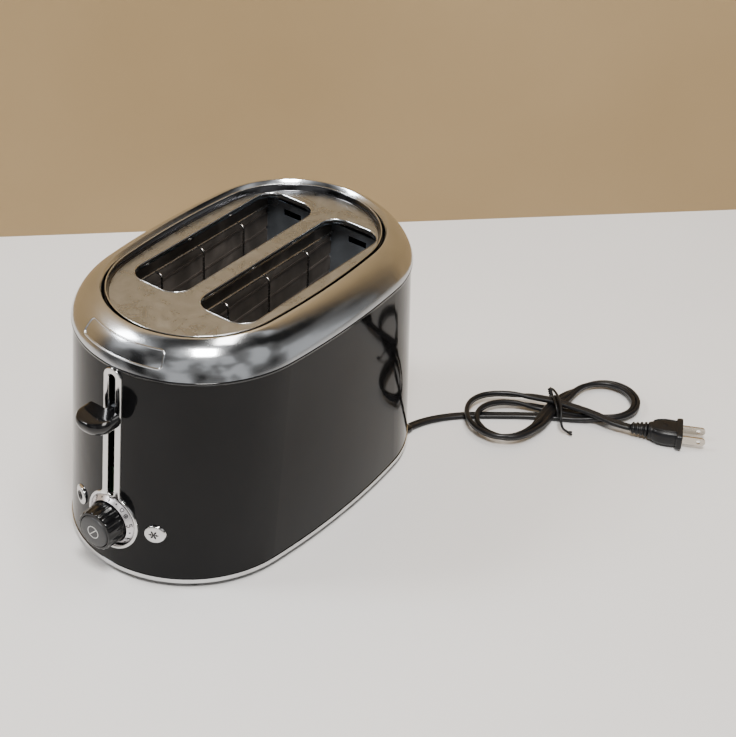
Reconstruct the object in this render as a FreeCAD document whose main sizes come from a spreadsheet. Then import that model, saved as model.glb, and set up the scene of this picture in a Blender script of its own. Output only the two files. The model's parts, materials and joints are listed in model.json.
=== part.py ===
import FreeCAD, Part
import math
import os

import Sketcher
from FreeCAD import Placement, Rotation, Vector

# Two-slice pop up toaster. Millimetres, +Z up, controls at -Y, cord at the rear right (+X, +Y).
# Everything is drawn about the middle of the housing and then placed by dims.centre_shift along Y,
# so that the origin is under the middle of the whole object, lever and tray handle included.

DIMENSIONS = [
    # outline of the housing: an oval of four tangent arcs at its foot and another at its top
    ("base_half_length", 135.0), ("base_half_width", 82.4), ("base_end_radius", 78.8),
    ("top_half_length", 125.3), ("top_half_width", 81.4), ("top_end_radius", 79.2),
    ("centre_shift", 7.0),
    # heights
    ("band_z", 4.6), ("shell_z", 7.6), ("seam_z", 153.4), ("crest_z", 175.3), ("deck_z", 169.4),
    # sheet metal
    ("shell_wall", 1.2), ("deck_wall", 1.0), ("plate_wall", 1.0), ("pan_wall", 1.5), ("pan_gap", 0.2),
    ("band_proud", 0.5), ("band_inset", 1.5), ("seam_gap", 1.2),
    # shoulder ring, measured inward from the seam outline; half_turn is half of its arc, in degrees
    ("crest_inset", 16.5), ("shoulder_proud", 1.0), ("shoulder_half_turn", 24.0),
    ("shoulder_wall", 1.0), ("rim_inset", 19.6), ("rim_drop", 3.2),
    # recessed deck with two bread slots
    ("deck_inset", 23.0), ("deck_lip_inset", 21.2), ("deck_lip_rise", 4.4),
    ("slot_inner", 6.1), ("slot_outer", 48.3), ("slot_front", -60.5), ("slot_rear", 81.5),
    ("slot_corner", 13.0), ("slot_lip", 3.4),
    # control end
    ("lever_slot_width", 5.4), ("lever_slot_low", 60.0), ("lever_slot_high", 148.5),
    ("bezel_width", 14.0), ("bezel_proud", 1.5), ("dial_z", 40.5), ("dial_radius", 20.4),
    ("dial_hole", 18.2), ("knob_radius", 14.3), ("knob_front", 148.2), ("cancel_radius", 10.8),
    ("button_x", 31.3), ("button_z", 41.0), ("button_radius", 6.3), ("button_gap", 0.3),
    ("button_proud", 1.5), ("scale_outer_y", -131.6), ("scale_inner_y", -135.2), ("scale_wall", 3.0),
    ("scale_gap", 0.15), ("knob_gap", 0.45), ("knob_back", -128.5), ("knob_chamfer", 0.8),
    ("flute_depth", 0.9), ("flute_front", -146.2), ("cancel_proud", 1.2), ("cancel_gap", 0.3),
    ("stem_radius", 3.0), ("hub_bore", 3.3), ("hub_radius", 5.2),
    ("flute_radius", 1.6), ("board_y", -108.6),
    # lever and carriage, at rest
    ("lever_z", 121.0), ("lever_half_width", 13.0), ("lever_back", 134.2), ("lever_tip", 153.0),
    ("lever_height", 14.0), ("arm_height", 9.0), ("arm_thickness", 2.5),
    ("lever_corner", 11.0), ("lever_fillet", 4.0), ("neck_half_width", 2.1), ("neck_shoulder", 0.6),
    ("carriage_down", 53.5), ("rod_y", -78.0), ("rod_radius", 2.5), ("rod_gap", 0.06),
    ("magnet_top", 34.0), ("spring_radius", 4.2), ("spring_wire", 0.7), ("spring_low", 10.0),
    # toasting chamber
    ("front_plate_y", -66.0), ("rear_plate_y", 88.5), ("plate_half_width", 60.0),
    ("plate_low", 16.8), ("plate_high", 159.0), ("mica_outer", 54.9), ("mica_wall", 1.0),
    ("mica_low", 28.0), ("mica_high", 160.0), ("ribbon_wall", 0.25), ("ribbon_height", 1.8),
    ("ribbon_pitch", 13.0), ("notch_depth", 1.6),
    ("rack_x", 27.7), ("rack_z", 78.0), ("rack_height", 8.0), ("rack_wall", 2.0),
    ("cage_top", 157.0), ("cage_pivot_z", 38.0), ("cage_wire", 0.8), ("pivot_wire", 1.0),
    ("pivot_gap", 0.08), ("cage_wall_offset", 21.5), ("cage_offset", 15.7), ("cage_step", 41.0),
    ("cage_mid", 7.5),
    # base
    ("foot_x", 45.0), ("foot_y", 105.6), ("foot_radius", 9.6),
    ("tray_half_width", 47.0), ("tray_low", 10.4), ("tray_high", 15.6), ("tray_wall", 1.0),
    ("handle_half_width", 24.0),
    # mains lead: a flat twin cord
    ("cord_width", 6.4), ("cord_thickness", 3.5), ("bundle_low", 0.9), ("bundle_high", 14.5),
    ("plug_z", 7.4), ("blade_spacing", 12.7), ("blade_length", 16.5), ("plug_half_height", 6.6),
    ("plug_body_length", 24.5), ("plug_sleeve", 12.0),
]
PAN_SLOT_ROWS = 8
KNOB_FLUTES = 24
RACK_FINGERS = 7
RIBBON_TURNS = 9
SLEEVE_RIBS = 4
SPRING_TURNS = 9

# The lead's route on the table, from its clip under the base to the bundle, and from the bundle to the
# plug: points in the plane of the table, about the middle of the housing.
LEAD_ROUTE = [(57.5, 88.0), (59.0, 104.5), (62.5, 121.0), (70.8, 136.3), (82.3, 149.6)]
TAIL_ROUTE = [(159.0, 203.0), (174.3, 203.3), (187.0, 207.9)]
TIE_CENTRE = (131.5, 194.0)          # where the wire tie holds the figure of eight
BUNDLE_ANGLE = 49.5                  # degrees from +X to the bundle's long direction
LOBES = [(-37.5, 30.0), (48.0, 20.5)]  # along the bundle from the tie: loop centre, loop radius
BUNDLE_WAIST = 8.5
PLUG_FACE = (219.5, 224.5)           # centre of the plug's front face
PLUG_ANGLE = 27.0                    # degrees from +X to the way the blades point

doc = FreeCAD.newDocument("pop_up_toaster")
dims = doc.addObject("Spreadsheet::Sheet", "dims")
nodes = []


def fill_sheet():
    """Write the driving dimensions, and the few that follow from them, with their aliases."""
    rows = [(name, str(number)) for name, number in DIMENSIONS]
    for end in ("base", "top"):
        rows.append((end + "_end_centre", "={0}_half_length-{0}_end_radius".format(end)))
        rows.append((end + "_side_radius",
                     "=({0}_end_radius^2-{0}_end_centre^2-{0}_half_width^2)"
                     "/(2*({0}_end_radius-{0}_half_width))".format(end)))
    rows.append(("seam_top", "=seam_z+seam_gap"))
    rows.append(("shoulder_radius", "=sqrt((crest_inset+shoulder_proud)^2+(crest_z-seam_top)^2)"
                                    "/(2*sin(shoulder_half_turn))"))
    for row, (alias, content) in enumerate(rows, start=1):
        dims.set("A%d" % row, alias)
        dims.set("B%d" % row, content)
        dims.setAlias("B%d" % row, alias)
    doc.recompute()


def value(expression):
    """The number that an expression over the sheet's aliases gives now."""
    return float(dims.evalExpression(str(expression)))


def bind(item, **expressions):
    """Bind properties of an object to expressions; two underscores stand for a dot."""
    for prop, expression in expressions.items():
        item.setExpression(prop.replace("__", "."), str(expression))
    return item


def node(item, name):
    """Name a finished sub-part and place it in the object's frame."""
    item.Label = name
    bind(item, Placement__Base__y="dims.centre_shift")
    nodes.append(item)
    return item


# ---------------------------------------------------------------- primitives bound to the sheet

def block(name, x, y, z):
    """A box from (low, high) pairs of expressions."""
    item = doc.addObject("Part::Box", name)
    sides = (("Length", "x", x), ("Width", "y", y), ("Height", "z", z))
    for prop, axis, (low, high) in sides:
        item.setExpression(prop, "(%s)-(%s)" % (high, low))
        item.setExpression("Placement.Base." + axis, str(low))
    return item


def block_node(name, x, y, z):
    """A box that is a sub-part by itself."""
    item = block(name, x, y, z)
    item.Label = name
    item.setExpression("Placement.Base.y", "(%s)+dims.centre_shift" % y[0])
    nodes.append(item)
    return item


def rod(name, axis, radius, start, length):
    """A cylinder along X, Y or Z from a start point of three expressions."""
    item = doc.addObject("Part::Cylinder", name)
    turns = {"x": Rotation(Vector(0, 1, 0), 90), "y": Rotation(Vector(1, 0, 0), -90), "z": Rotation()}
    item.Placement = Placement(Vector(), turns[axis])
    bind(item, Radius=radius, Height=length, Placement__Base__x=start[0],
         Placement__Base__y=start[1], Placement__Base__z=start[2])
    return item


def fuse(name, items):
    item = doc.addObject("Part::MultiFuse", name)
    item.Shapes = items
    item.Refine = True
    return item


def cut(name, base, tool):
    item = doc.addObject("Part::Cut", name)
    item.Base = base
    item.Tool = tool if not isinstance(tool, list) else fuse(name + "_tools", tool)
    return item


def common(name, first, second):
    item = doc.addObject("Part::MultiCommon", name)
    item.Shapes = [first, second]
    return item


def obround(name, x, z_low, z_high, width, y):
    """An upright slot with round ends, through the Y range y; z_low and z_high are its ends."""
    radius = "(%s)/2" % width
    depth = "(%s)-(%s)" % (y[1], y[0])
    low, high = "(%s)+%s" % (z_low, radius), "(%s)-%s" % (z_high, radius)
    sides = ("(%s)-%s" % (x, radius), "(%s)+%s" % (x, radius))
    straight = block(name + "_straight", sides, y, (low, high))
    ends = [rod(name + "_end%d" % i, "y", radius, (x, y[0], z), depth) for i, z in enumerate((low, high))]
    return fuse(name, [straight] + ends)


# ---------------------------------------------------------------- sketches

def plane(body, role):
    return next(item for item in body.Origin.OriginFeatures if item.Role == role)


def attached_sketch(body, name, role, offset="0"):
    sketch = body.newObject("Sketcher::SketchObject", name)
    sketch.AttachmentSupport = (plane(body, role), [""])
    sketch.MapMode = "FlatFace"
    sketch.setExpression("AttachmentOffset.Base.z", str(offset))
    return sketch


def constrain(sketch, name, expression, *geometry):
    """Add a dimension and bind it."""
    index = sketch.addConstraint(Sketcher.Constraint(*geometry, value(expression)))
    sketch.renameConstraint(index, name)
    sketch.setExpression("Constraints." + name, str(expression))


def draw_oval(sketch, end, inset):
    """The housing's outline, moved inward: side, end, side and end arcs, each tangent to the next."""
    first = sketch.GeometryCount
    half_width, side, radius, centre = (value("dims.%s_%s" % (end, part)) for part in
                                        ("half_width", "side_radius", "end_radius", "end_centre"))
    shift = value(inset)
    turn = math.atan2(centre, side - half_width)
    arcs = [(half_width - side, 0, side, -turn, turn),
            (0, centre, radius, turn, math.pi - turn),
            (side - half_width, 0, side, math.pi - turn, math.pi + turn),
            (0, -centre, radius, math.pi + turn, 2 * math.pi - turn)]
    for x, y, arc_radius, start, stop in arcs:
        circle = Part.Circle(Vector(x, y, 0), Vector(0, 0, 1), arc_radius - shift)
        sketch.addGeometry(Part.ArcOfCircle(circle, start, stop), False)
    for i in range(4):
        sketch.addConstraint(Sketcher.Constraint("Tangent", first + i, 2, first + (i + 1) % 4, 1))
    for i, sign in ((1, ""), (3, "-")):
        sketch.addConstraint(Sketcher.Constraint("PointOnObject", first + i, 3, -2))
        constrain(sketch, "centre%d" % (first + i), "%sdims.%s_end_centre" % (sign, end),
                  "DistanceY", -1, 1, first + i, 3)
        constrain(sketch, "end%d" % (first + i), "dims.%s_end_radius-(%s)" % (end, inset),
                  "Radius", first + i)
    for i in (0, 2):
        constrain(sketch, "side%d" % (first + i), "dims.%s_side_radius-(%s)" % (end, inset),
                  "Radius", first + i)


def draw_polygon(sketch, points):
    """A closed outline of straight lines through points of two expressions, each corner dimensioned."""
    first = sketch.GeometryCount
    corners = [Vector(value(x), value(y), 0) for x, y in points]
    count = len(corners)
    for i in range(count):
        sketch.addGeometry(Part.LineSegment(corners[i], corners[(i + 1) % count]), False)
    for i in range(count):
        sketch.addConstraint(Sketcher.Constraint("Coincident", first + i, 2, first + (i + 1) % count, 1))
    for i, (x, y) in enumerate(points):
        for axis, number, expression in (("DistanceX", "x", x), ("DistanceY", "y", y)):
            if abs(value(expression)) < 1e-9:
                line = -2 if number == "x" else -1
                sketch.addConstraint(Sketcher.Constraint("PointOnObject", first + i, 1, line))
            else:
                constrain(sketch, "%s%d" % (number, first + i), expression, axis, -1, 1, first + i, 1)


def draw_rounded_box(sketch, x, y, radius):
    """A rectangle with four equal round corners, dimensioned on its corner centres."""
    first = sketch.GeometryCount
    low, high, near, far, r = (value(item) for item in (x[0], x[1], y[0], y[1], radius))
    centres = [(high - r, far - r, 0), (low + r, far - r, 90),
               (low + r, near + r, 180), (high - r, near + r, 270)]
    for cx, cy, start in centres:
        circle = Part.Circle(Vector(cx, cy, 0), Vector(0, 0, 1), r)
        sketch.addGeometry(Part.ArcOfCircle(circle, math.radians(start), math.radians(start + 90)), False)
    sides = [((high - r, far), (low + r, far)), ((low, far - r), (low, near + r)),
             ((low + r, near), (high - r, near)), ((high, near + r), (high, far - r))]
    for start, stop in sides:
        sketch.addGeometry(Part.LineSegment(Vector(*start, 0), Vector(*stop, 0)), False)
    for i in range(4):
        sketch.addConstraint(Sketcher.Constraint("Tangent", first + i, 2, first + 4 + i, 1))
        sketch.addConstraint(Sketcher.Constraint("Tangent", first + 4 + i, 2, first + (i + 1) % 4, 1))
        sketch.addConstraint(Sketcher.Constraint("Vertical" if i % 2 else "Horizontal", first + 4 + i))
    for i in (1, 2, 3):
        sketch.addConstraint(Sketcher.Constraint("Equal", first, first + i))
    constrain(sketch, "corner%d" % first, radius, "Radius", first)
    constrain(sketch, "right%d" % first, "(%s)-(%s)" % (x[1], radius), "DistanceX", -1, 1, first, 3)
    constrain(sketch, "far%d" % first, "(%s)-(%s)" % (y[1], radius), "DistanceY", -1, 1, first, 3)
    constrain(sketch, "left%d" % first, "(%s)+(%s)" % (x[0], radius), "DistanceX", -1, 1, first + 2, 3)
    constrain(sketch, "near%d" % first, "(%s)+(%s)" % (y[0], radius), "DistanceY", -1, 1, first + 2, 3)


def new_body(name):
    return doc.addObject("PartDesign::Body", name)


def pad(body, sketch, length, reverse=False):
    feature = body.newObject("PartDesign::Pad", sketch.Name + "_pad")
    feature.Profile = sketch
    feature.Reversed = reverse
    feature.setExpression("Length", str(length))
    sketch.Visibility = False
    return feature


def pocket(body, sketch, length, reverse=False):
    """Cut a sketch away, and make sure that the cut met the solid."""
    doc.recompute()
    before = body.Shape.Volume
    feature = body.newObject("PartDesign::Pocket", sketch.Name + "_pocket")
    feature.Profile = sketch
    feature.Reversed = reverse
    feature.setExpression("Length", str(length))
    doc.recompute()
    if body.Shape.Volume >= before - 1e-6:
        raise RuntimeError("nothing cut by " + feature.Name)
    return feature


def revolve(body, sketch, role="Y_Axis"):
    feature = body.newObject("PartDesign::Revolution", sketch.Name + "_turn")
    feature.Profile = sketch
    feature.ReferenceAxis = (plane(body, role), [""])
    feature.Angle = 360
    return feature


def turned(name, profile, x="0", z="0"):
    """A solid of revolution about a line along Y through (x, z); profile is (radius, y) expressions."""
    body = new_body(name)
    sketch = attached_sketch(body, name + "_profile", "XY_Plane")
    draw_polygon(sketch, profile)
    revolve(body, sketch)
    bind(body, Placement__Base__x=x, Placement__Base__z=z)
    return body


# ---------------------------------------------------------------- housing

def oval_loft(name, inset):
    """The housing's tapering outside, moved inward, as one solid from its foot to its seam."""
    sections = []
    for end, height in (("base", "dims.shell_z"), ("top", "dims.seam_z")):
        sketch = doc.addObject("Sketcher::SketchObject", "%s_%s" % (name, end))
        draw_oval(sketch, end, inset)
        bind(sketch, Placement__Base__z=height)
        sections.append(sketch)
    loft = doc.addObject("Part::Loft", name)
    loft.Sections = sections
    loft.Solid = True
    loft.Ruled = True
    return loft


def front_opening(name, x, z, radius):
    """A round hole through the front wall only."""
    return rod(name, "y", radius, (x, "-140", z), "40")


def build_shell(outside):
    inside = oval_loft("shell_inside", "dims.shell_wall")
    lever_slot = obround("shell_lever_slot", "0", "dims.lever_slot_low", "dims.lever_slot_high",
                         "dims.lever_slot_width", ("-140", "-110"))
    dial = front_opening("shell_dial_hole", "0", "dims.dial_z", "dims.dial_hole")
    buttons = [front_opening("shell_button_hole%d" % i, "%s*dims.button_x" % side, "dims.button_z",
                             "dims.button_radius+dims.button_gap") for i, side in enumerate(("-1", "1"))]
    tray_mouth = block("shell_tray_mouth", ("-dims.tray_half_width-0.8", "dims.tray_half_width+0.8"),
                       ("100", "140"), ("dims.tray_low-0.6", "dims.tray_high+0.6"))
    wall = cut("shell_wall_solid", outside, inside)
    node(cut("shell", wall, [lever_slot, dial, tray_mouth] + buttons), "shell")


def draw_shoulder_profile(sketch):
    """A shallow arc from the seam up to the crest, and a lip that turns down inside."""
    radius, wall = value("dims.shoulder_radius"), value("dims.shoulder_wall")
    start = Vector(value("dims.top_half_width+dims.shoulder_proud"), value("dims.seam_top"), 0)
    crest = Vector(value("dims.top_half_width-dims.crest_inset"), value("dims.crest_z"), 0)
    lip = Vector(value("dims.top_half_width-dims.rim_inset"), value("dims.crest_z-dims.rim_drop"), 0)
    chord = crest - start
    outward = Vector(chord.y, -chord.x, 0).normalize()
    centre = (start + crest) / 2 - outward * math.sqrt(radius ** 2 - (chord.Length / 2) ** 2)
    outer = Part.Circle(centre, Vector(0, 0, 1), radius)
    under = Part.Circle(centre, Vector(0, 0, 1), radius - wall)
    turns = [math.atan2(point.y - centre.y, point.x - centre.x) for point in (start, crest)]
    under_turns = (math.asin((start.y - centre.y) / (radius - wall)),
                   math.acos((crest.x + wall / 2 - centre.x) / (radius - wall)))
    lip_inside = lip + Vector(wall, 0, 0)
    under_crest = under.value(under_turns[1])
    sketch.addGeometry([Part.ArcOfCircle(outer, *turns), Part.LineSegment(crest, lip),
                        Part.LineSegment(lip, lip_inside), Part.LineSegment(lip_inside, under_crest),
                        Part.ArcOfCircle(under, *under_turns),
                        Part.LineSegment(under.value(under_turns[0]), start)], False)
    joins = [(0, 2, 1, 1), (1, 2, 2, 1), (2, 2, 3, 1), (3, 2, 4, 2), (4, 1, 5, 1), (5, 2, 0, 1),
             (4, 3, 0, 3)]
    for join in joins:
        sketch.addConstraint(Sketcher.Constraint("Coincident", *join))
    sketch.addConstraint(Sketcher.Constraint("Horizontal", 2))
    sketch.addConstraint(Sketcher.Constraint("Horizontal", 5))
    constrain(sketch, "radius", "dims.shoulder_radius", "Radius", 0)
    constrain(sketch, "under_radius", "dims.shoulder_radius-dims.shoulder_wall", "Radius", 4)
    constrain(sketch, "seam_x", "dims.top_half_width+dims.shoulder_proud", "DistanceX", -1, 1, 0, 1)
    constrain(sketch, "seam_z", "dims.seam_top", "DistanceY", -1, 1, 0, 1)
    constrain(sketch, "crest_x", "dims.top_half_width-dims.crest_inset", "DistanceX", -1, 1, 0, 2)
    constrain(sketch, "crest_z", "dims.crest_z", "DistanceY", -1, 1, 0, 2)
    constrain(sketch, "under_x", "dims.top_half_width-dims.crest_inset+dims.shoulder_wall/2",
              "DistanceX", -1, 1, 4, 2)
    constrain(sketch, "lip_x", "dims.top_half_width-dims.rim_inset", "DistanceX", -1, 1, 2, 1)
    constrain(sketch, "lip_z", "dims.crest_z-dims.rim_drop", "DistanceY", -1, 1, 2, 1)
    constrain(sketch, "lip_wall", "dims.shoulder_wall", "DistanceX", 2, 1, 2, 2)


def oval_sweep(body, name, profile, height):
    """Carry a profile, drawn at the housing's side, round the top outline."""
    path = attached_sketch(body, name + "_path", "XY_Plane", height)
    draw_oval(path, "top", "0")
    doc.recompute()
    sweep = body.newObject("PartDesign::AdditivePipe", name + "_sweep")
    sweep.Profile = profile
    sweep.Spine = (path, ["Edge%d" % i for i in range(1, 5)])
    path.Visibility = False
    return sweep


def build_shoulder():
    """The bright ring above the seam."""
    body = new_body("shoulder_ring")
    profile = attached_sketch(body, "shoulder_profile", "XZ_Plane")
    draw_shoulder_profile(profile)
    oval_sweep(body, "shoulder", profile, "dims.seam_top")
    node(body, "shoulder_ring")


def build_deck():
    """The sunk top plate with its raised edge and two bread slots with turned down lips."""
    body = new_body("top_deck")
    plate = attached_sketch(body, "deck_plate", "XY_Plane", "dims.deck_z-dims.deck_wall")
    draw_oval(plate, "top", "dims.deck_inset")
    pad(body, plate, "dims.deck_wall")
    foot = "dims.top_half_width-dims.deck_inset-0.4"
    edge = "dims.top_half_width-dims.deck_lip_inset"
    top = "dims.deck_z+dims.deck_lip_rise"
    profile = attached_sketch(body, "deck_edge_profile", "XZ_Plane")
    draw_polygon(profile, [(foot, "dims.deck_z-dims.deck_wall"), (foot + "+1", "dims.deck_z-dims.deck_wall"),
                           (edge, top), (edge + "-0.8", top), (foot, "dims.deck_z")])
    oval_sweep(body, "deck_edge", profile, "dims.deck_z")
    slots = (("-dims.slot_outer", "-dims.slot_inner"), ("dims.slot_inner", "dims.slot_outer"))
    for i, (low, high) in enumerate(slots):
        lip = attached_sketch(body, "slot_lip%d" % i, "XY_Plane", "dims.deck_z-dims.slot_lip")
        draw_rounded_box(lip, (low + "-0.8", high + "+0.8"), ("dims.slot_front-0.8", "dims.slot_rear+0.8"),
                         "dims.slot_corner+0.8")
        pad(body, lip, "dims.slot_lip-dims.deck_wall/2")
    for i, (low, high) in enumerate(slots):
        hole = attached_sketch(body, "slot_hole%d" % i, "XY_Plane", "dims.deck_z+1")
        draw_rounded_box(hole, (low, high), ("dims.slot_front", "dims.slot_rear"), "dims.slot_corner")
        pocket(body, hole, "dims.slot_lip+3")
    node(body, "top_deck")


# ---------------------------------------------------------------- base

def build_base():
    """Bright band, slotted pan, rubber feet and the clip that holds the lead."""
    band = new_body("base_band")
    ring = attached_sketch(band, "band_ring", "XY_Plane", "dims.band_z")
    draw_oval(ring, "base", "-dims.band_proud")
    draw_oval(ring, "base", "dims.band_inset")
    pad(band, ring, "dims.shell_z-dims.band_z")
    node(band, "base_band")

    plate = new_body("pan_plate")
    outline = attached_sketch(plate, "pan_outline", "XY_Plane", "dims.shell_z")
    draw_oval(outline, "base", "dims.shell_wall+dims.pan_gap")
    pad(plate, outline, "dims.pan_wall")
    slots = []
    for row in range(PAN_SLOT_ROWS):
        for side in (-1, 1):
            slots.append(block("pan_slot_%d_%d" % (row, side + 1),
                               (str(side * 26 - 16), str(side * 26 + 16)),
                               (str(row * 13 - 52), str(row * 13 - 46)),
                               ("dims.shell_z-1", "dims.shell_z+3")))
    node(cut("bottom_pan", plate, slots), "bottom_pan")

    for name, x, y in (("foot_front_left", -1, -1), ("foot_front_right", 1, -1),
                       ("foot_rear_left", -1, 1), ("foot_rear_right", 1, 1)):
        foot = new_body(name)
        profile = attached_sketch(foot, name + "_profile", "XZ_Plane")
        draw_polygon(profile, [("0", "0"), ("dims.foot_radius-1.2", "0"), ("dims.foot_radius", "1.2"),
                               ("dims.foot_radius", "dims.shell_z"), ("0", "dims.shell_z")])
        revolve(foot, profile, "Z_Axis")
        foot.Label = name
        bind(foot, Placement__Base__x="%d*dims.foot_x" % x,
             Placement__Base__y="%d*dims.foot_y+dims.centre_shift" % y)
        nodes.append(foot)


def build_tray():
    """Crumb tray: a shallow dish whose rear wall follows the housing, with a handle outside."""
    inner, outer = "dims.shell_wall+0.4", "dims.tray_wall"
    width = ("-dims.tray_half_width", "dims.tray_half_width")
    outline = new_body("tray_outline")
    sketch = attached_sketch(outline, "tray_outline_sketch", "XY_Plane", "dims.tray_low")
    draw_oval(sketch, "base", inner)
    pad(outline, sketch, "dims.tray_high-dims.tray_low")
    blank = common("tray_blank", outline, block("tray_extent", width, ("-61", "140"), ("0", "40")))
    hollow_outline = new_body("tray_hollow_outline")
    sketch = attached_sketch(hollow_outline, "tray_hollow_sketch", "XY_Plane", "dims.tray_low+" + outer)
    draw_oval(sketch, "base", inner + "+" + outer)
    pad(hollow_outline, sketch, "20")
    hollow = common("tray_hollow", hollow_outline,
                    block("tray_hollow_extent", ("%s+1" % width[0], "%s-1" % width[1]), ("-60", "140"),
                          ("0", "60")))
    node(cut("crumb_tray", blank, hollow), "crumb_tray")
    handle = block("handle_block", ("-dims.handle_half_width", "dims.handle_half_width"), ("128", "139"),
                   ("dims.tray_low", "dims.tray_high"))
    inside = new_body("handle_inside")
    sketch = attached_sketch(inside, "handle_inside_sketch", "XY_Plane", "0")
    draw_oval(sketch, "base", inner)
    pad(inside, sketch, "40")
    node(cut("tray_handle", handle, inside), "tray_handle")


# ---------------------------------------------------------------- control end

def build_bezel(outside):
    """Keyhole shaped bright trim: a strip round the lever's slot that opens into the dial's ring."""
    depth = ("-145", "-100")
    skin = cut("bezel_skin", oval_loft("bezel_outside", "-dims.bezel_proud"), outside)
    top = "dims.lever_slot_high+(dims.bezel_width-dims.lever_slot_width)/2"
    strip = obround("bezel_strip", "0", "dims.dial_z", top, "dims.bezel_width", depth)
    ring = rod("bezel_ring", "y", "dims.dial_radius", ("0", depth[0], "dims.dial_z"), "45")
    prism = fuse("bezel_prism", [strip, ring])
    slot = obround("bezel_slot", "0", "dims.lever_slot_low", "dims.lever_slot_high",
                   "dims.lever_slot_width", depth)
    hole = rod("bezel_hole", "y", "dims.dial_hole", ("0", depth[0], "dims.dial_z"), "45")
    node(cut("control_bezel", common("bezel_blank", prism, skin), [slot, hole]), "control_bezel")


def build_dial():
    """Conical scale ring, browning knob with its shaft, and the cancel button in its middle."""
    front = "-dims.knob_front"
    scale_outer, scale_inner = "dims.dial_hole-dims.scale_gap", "dims.knob_radius+dims.knob_gap"
    profile = [(scale_outer, "dims.scale_outer_y"), (scale_outer, "dims.scale_outer_y+dims.scale_wall"),
               (scale_inner, "dims.scale_inner_y+dims.scale_wall"), (scale_inner, "dims.scale_inner_y")]
    node(turned("dial_scale", profile, z="dims.dial_z"), "dial_scale")
    hub, shaft = "dims.hub_bore", "dims.hub_radius"
    well = "dims.cancel_radius+dims.cancel_gap"
    rim = "dims.knob_radius-dims.flute_depth"
    shaft_end = "dims.board_y-1"
    profile = [(hub, "dims.knob_back-2.5"), (well, "dims.knob_back-2.5"), (well, front),
               (rim + "-dims.knob_chamfer", front), (rim, front + "+dims.knob_chamfer"),
               ("dims.knob_radius", "dims.knob_back-0.5"), ("dims.knob_radius", "dims.knob_back"),
               (shaft, "dims.knob_back"), (shaft, shaft_end), (hub, shaft_end)]
    knob = turned("knob_body", profile, z="dims.dial_z")
    flute_ring = "(dims.knob_radius+dims.flute_radius-dims.flute_depth)"
    flutes = []
    for i in range(KNOB_FLUTES):
        turn = i * 360 / KNOB_FLUTES
        start = ("%s*cos(%d)" % (flute_ring, turn), "dims.flute_front",
                 "dims.dial_z+%s*sin(%d)" % (flute_ring, turn))
        flutes.append(rod("knob_flute%d" % i, "y", "dims.flute_radius", start, "18"))
    node(cut("browning_knob", knob, flutes), "browning_knob")
    face, skirt, stem_end = front + "-dims.cancel_proud", front + "+4", "dims.board_y-6.4"
    profile = [("0", face), ("dims.cancel_radius-0.6", face), ("dims.cancel_radius", face + "+0.6"),
               ("dims.cancel_radius", skirt), ("dims.stem_radius", skirt), ("dims.stem_radius", stem_end),
               ("0", stem_end)]
    node(turned("cancel_button", profile, z="dims.dial_z"), "cancel_button")


def build_buttons():
    """Two bright caps that follow the housing's curve, each on a stem that reaches its switch."""
    outside = oval_loft("button_outside", "-dims.button_proud")
    for side, name in ((-1, "bagel_button"), (1, "frozen_button")):
        x = "%d*dims.button_x" % side
        cap = rod(name + "_cap", "y", "dims.button_radius", (x, "-140", "dims.button_z"), "20")
        stem = rod(name + "_stem", "y", "dims.stem_radius", (x, "-120", "dims.button_z"),
                   "120+dims.board_y-6.4")
        node(fuse(name, [common(name + "_cap_trimmed", cap, outside), stem]), name)


def draw_tongue(sketch):
    """The paddle's outline: square at the back, with two large round corners at the tip."""
    half, tip, back, radius = (value("dims.lever_" + part)
                               for part in ("half_width", "tip", "back", "corner"))
    centres = [Vector(-half + radius, -tip + radius, 0), Vector(half - radius, -tip + radius, 0)]
    corners = [Part.ArcOfCircle(Part.Circle(centre, Vector(0, 0, 1), radius), start, start + math.pi / 2)
               for centre, start in zip(centres, (math.pi, 1.5 * math.pi))]
    near = [Vector(-half + radius, -tip, 0), Vector(half - radius, -tip, 0)]
    sketch.addGeometry([corners[0], Part.LineSegment(near[0], near[1]), corners[1],
                        Part.LineSegment(Vector(half, -tip + radius, 0), Vector(half, -back, 0)),
                        Part.LineSegment(Vector(half, -back, 0), Vector(-half, -back, 0)),
                        Part.LineSegment(Vector(-half, -back, 0), Vector(-half, -tip + radius, 0))], False)
    joins = [("Tangent", 0, 2, 1, 1), ("Tangent", 1, 2, 2, 1), ("Tangent", 2, 2, 3, 1),
             ("Coincident", 3, 2, 4, 1), ("Coincident", 4, 2, 5, 1), ("Tangent", 5, 2, 0, 1),
             ("Horizontal", 1), ("Horizontal", 4),
             ("Vertical", 3), ("Vertical", 5), ("Equal", 0, 2)]
    for join in joins:
        sketch.addConstraint(Sketcher.Constraint(*join))
    constrain(sketch, "corner", "dims.lever_corner", "Radius", 0)
    constrain(sketch, "tip", "-dims.lever_tip", "DistanceY", -1, 1, 1, 1)
    constrain(sketch, "back", "-dims.lever_back", "DistanceY", -1, 1, 4, 1)
    constrain(sketch, "left", "-dims.lever_half_width", "DistanceX", -1, 1, 4, 2)
    constrain(sketch, "right", "dims.lever_half_width", "DistanceX", -1, 1, 4, 1)


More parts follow.
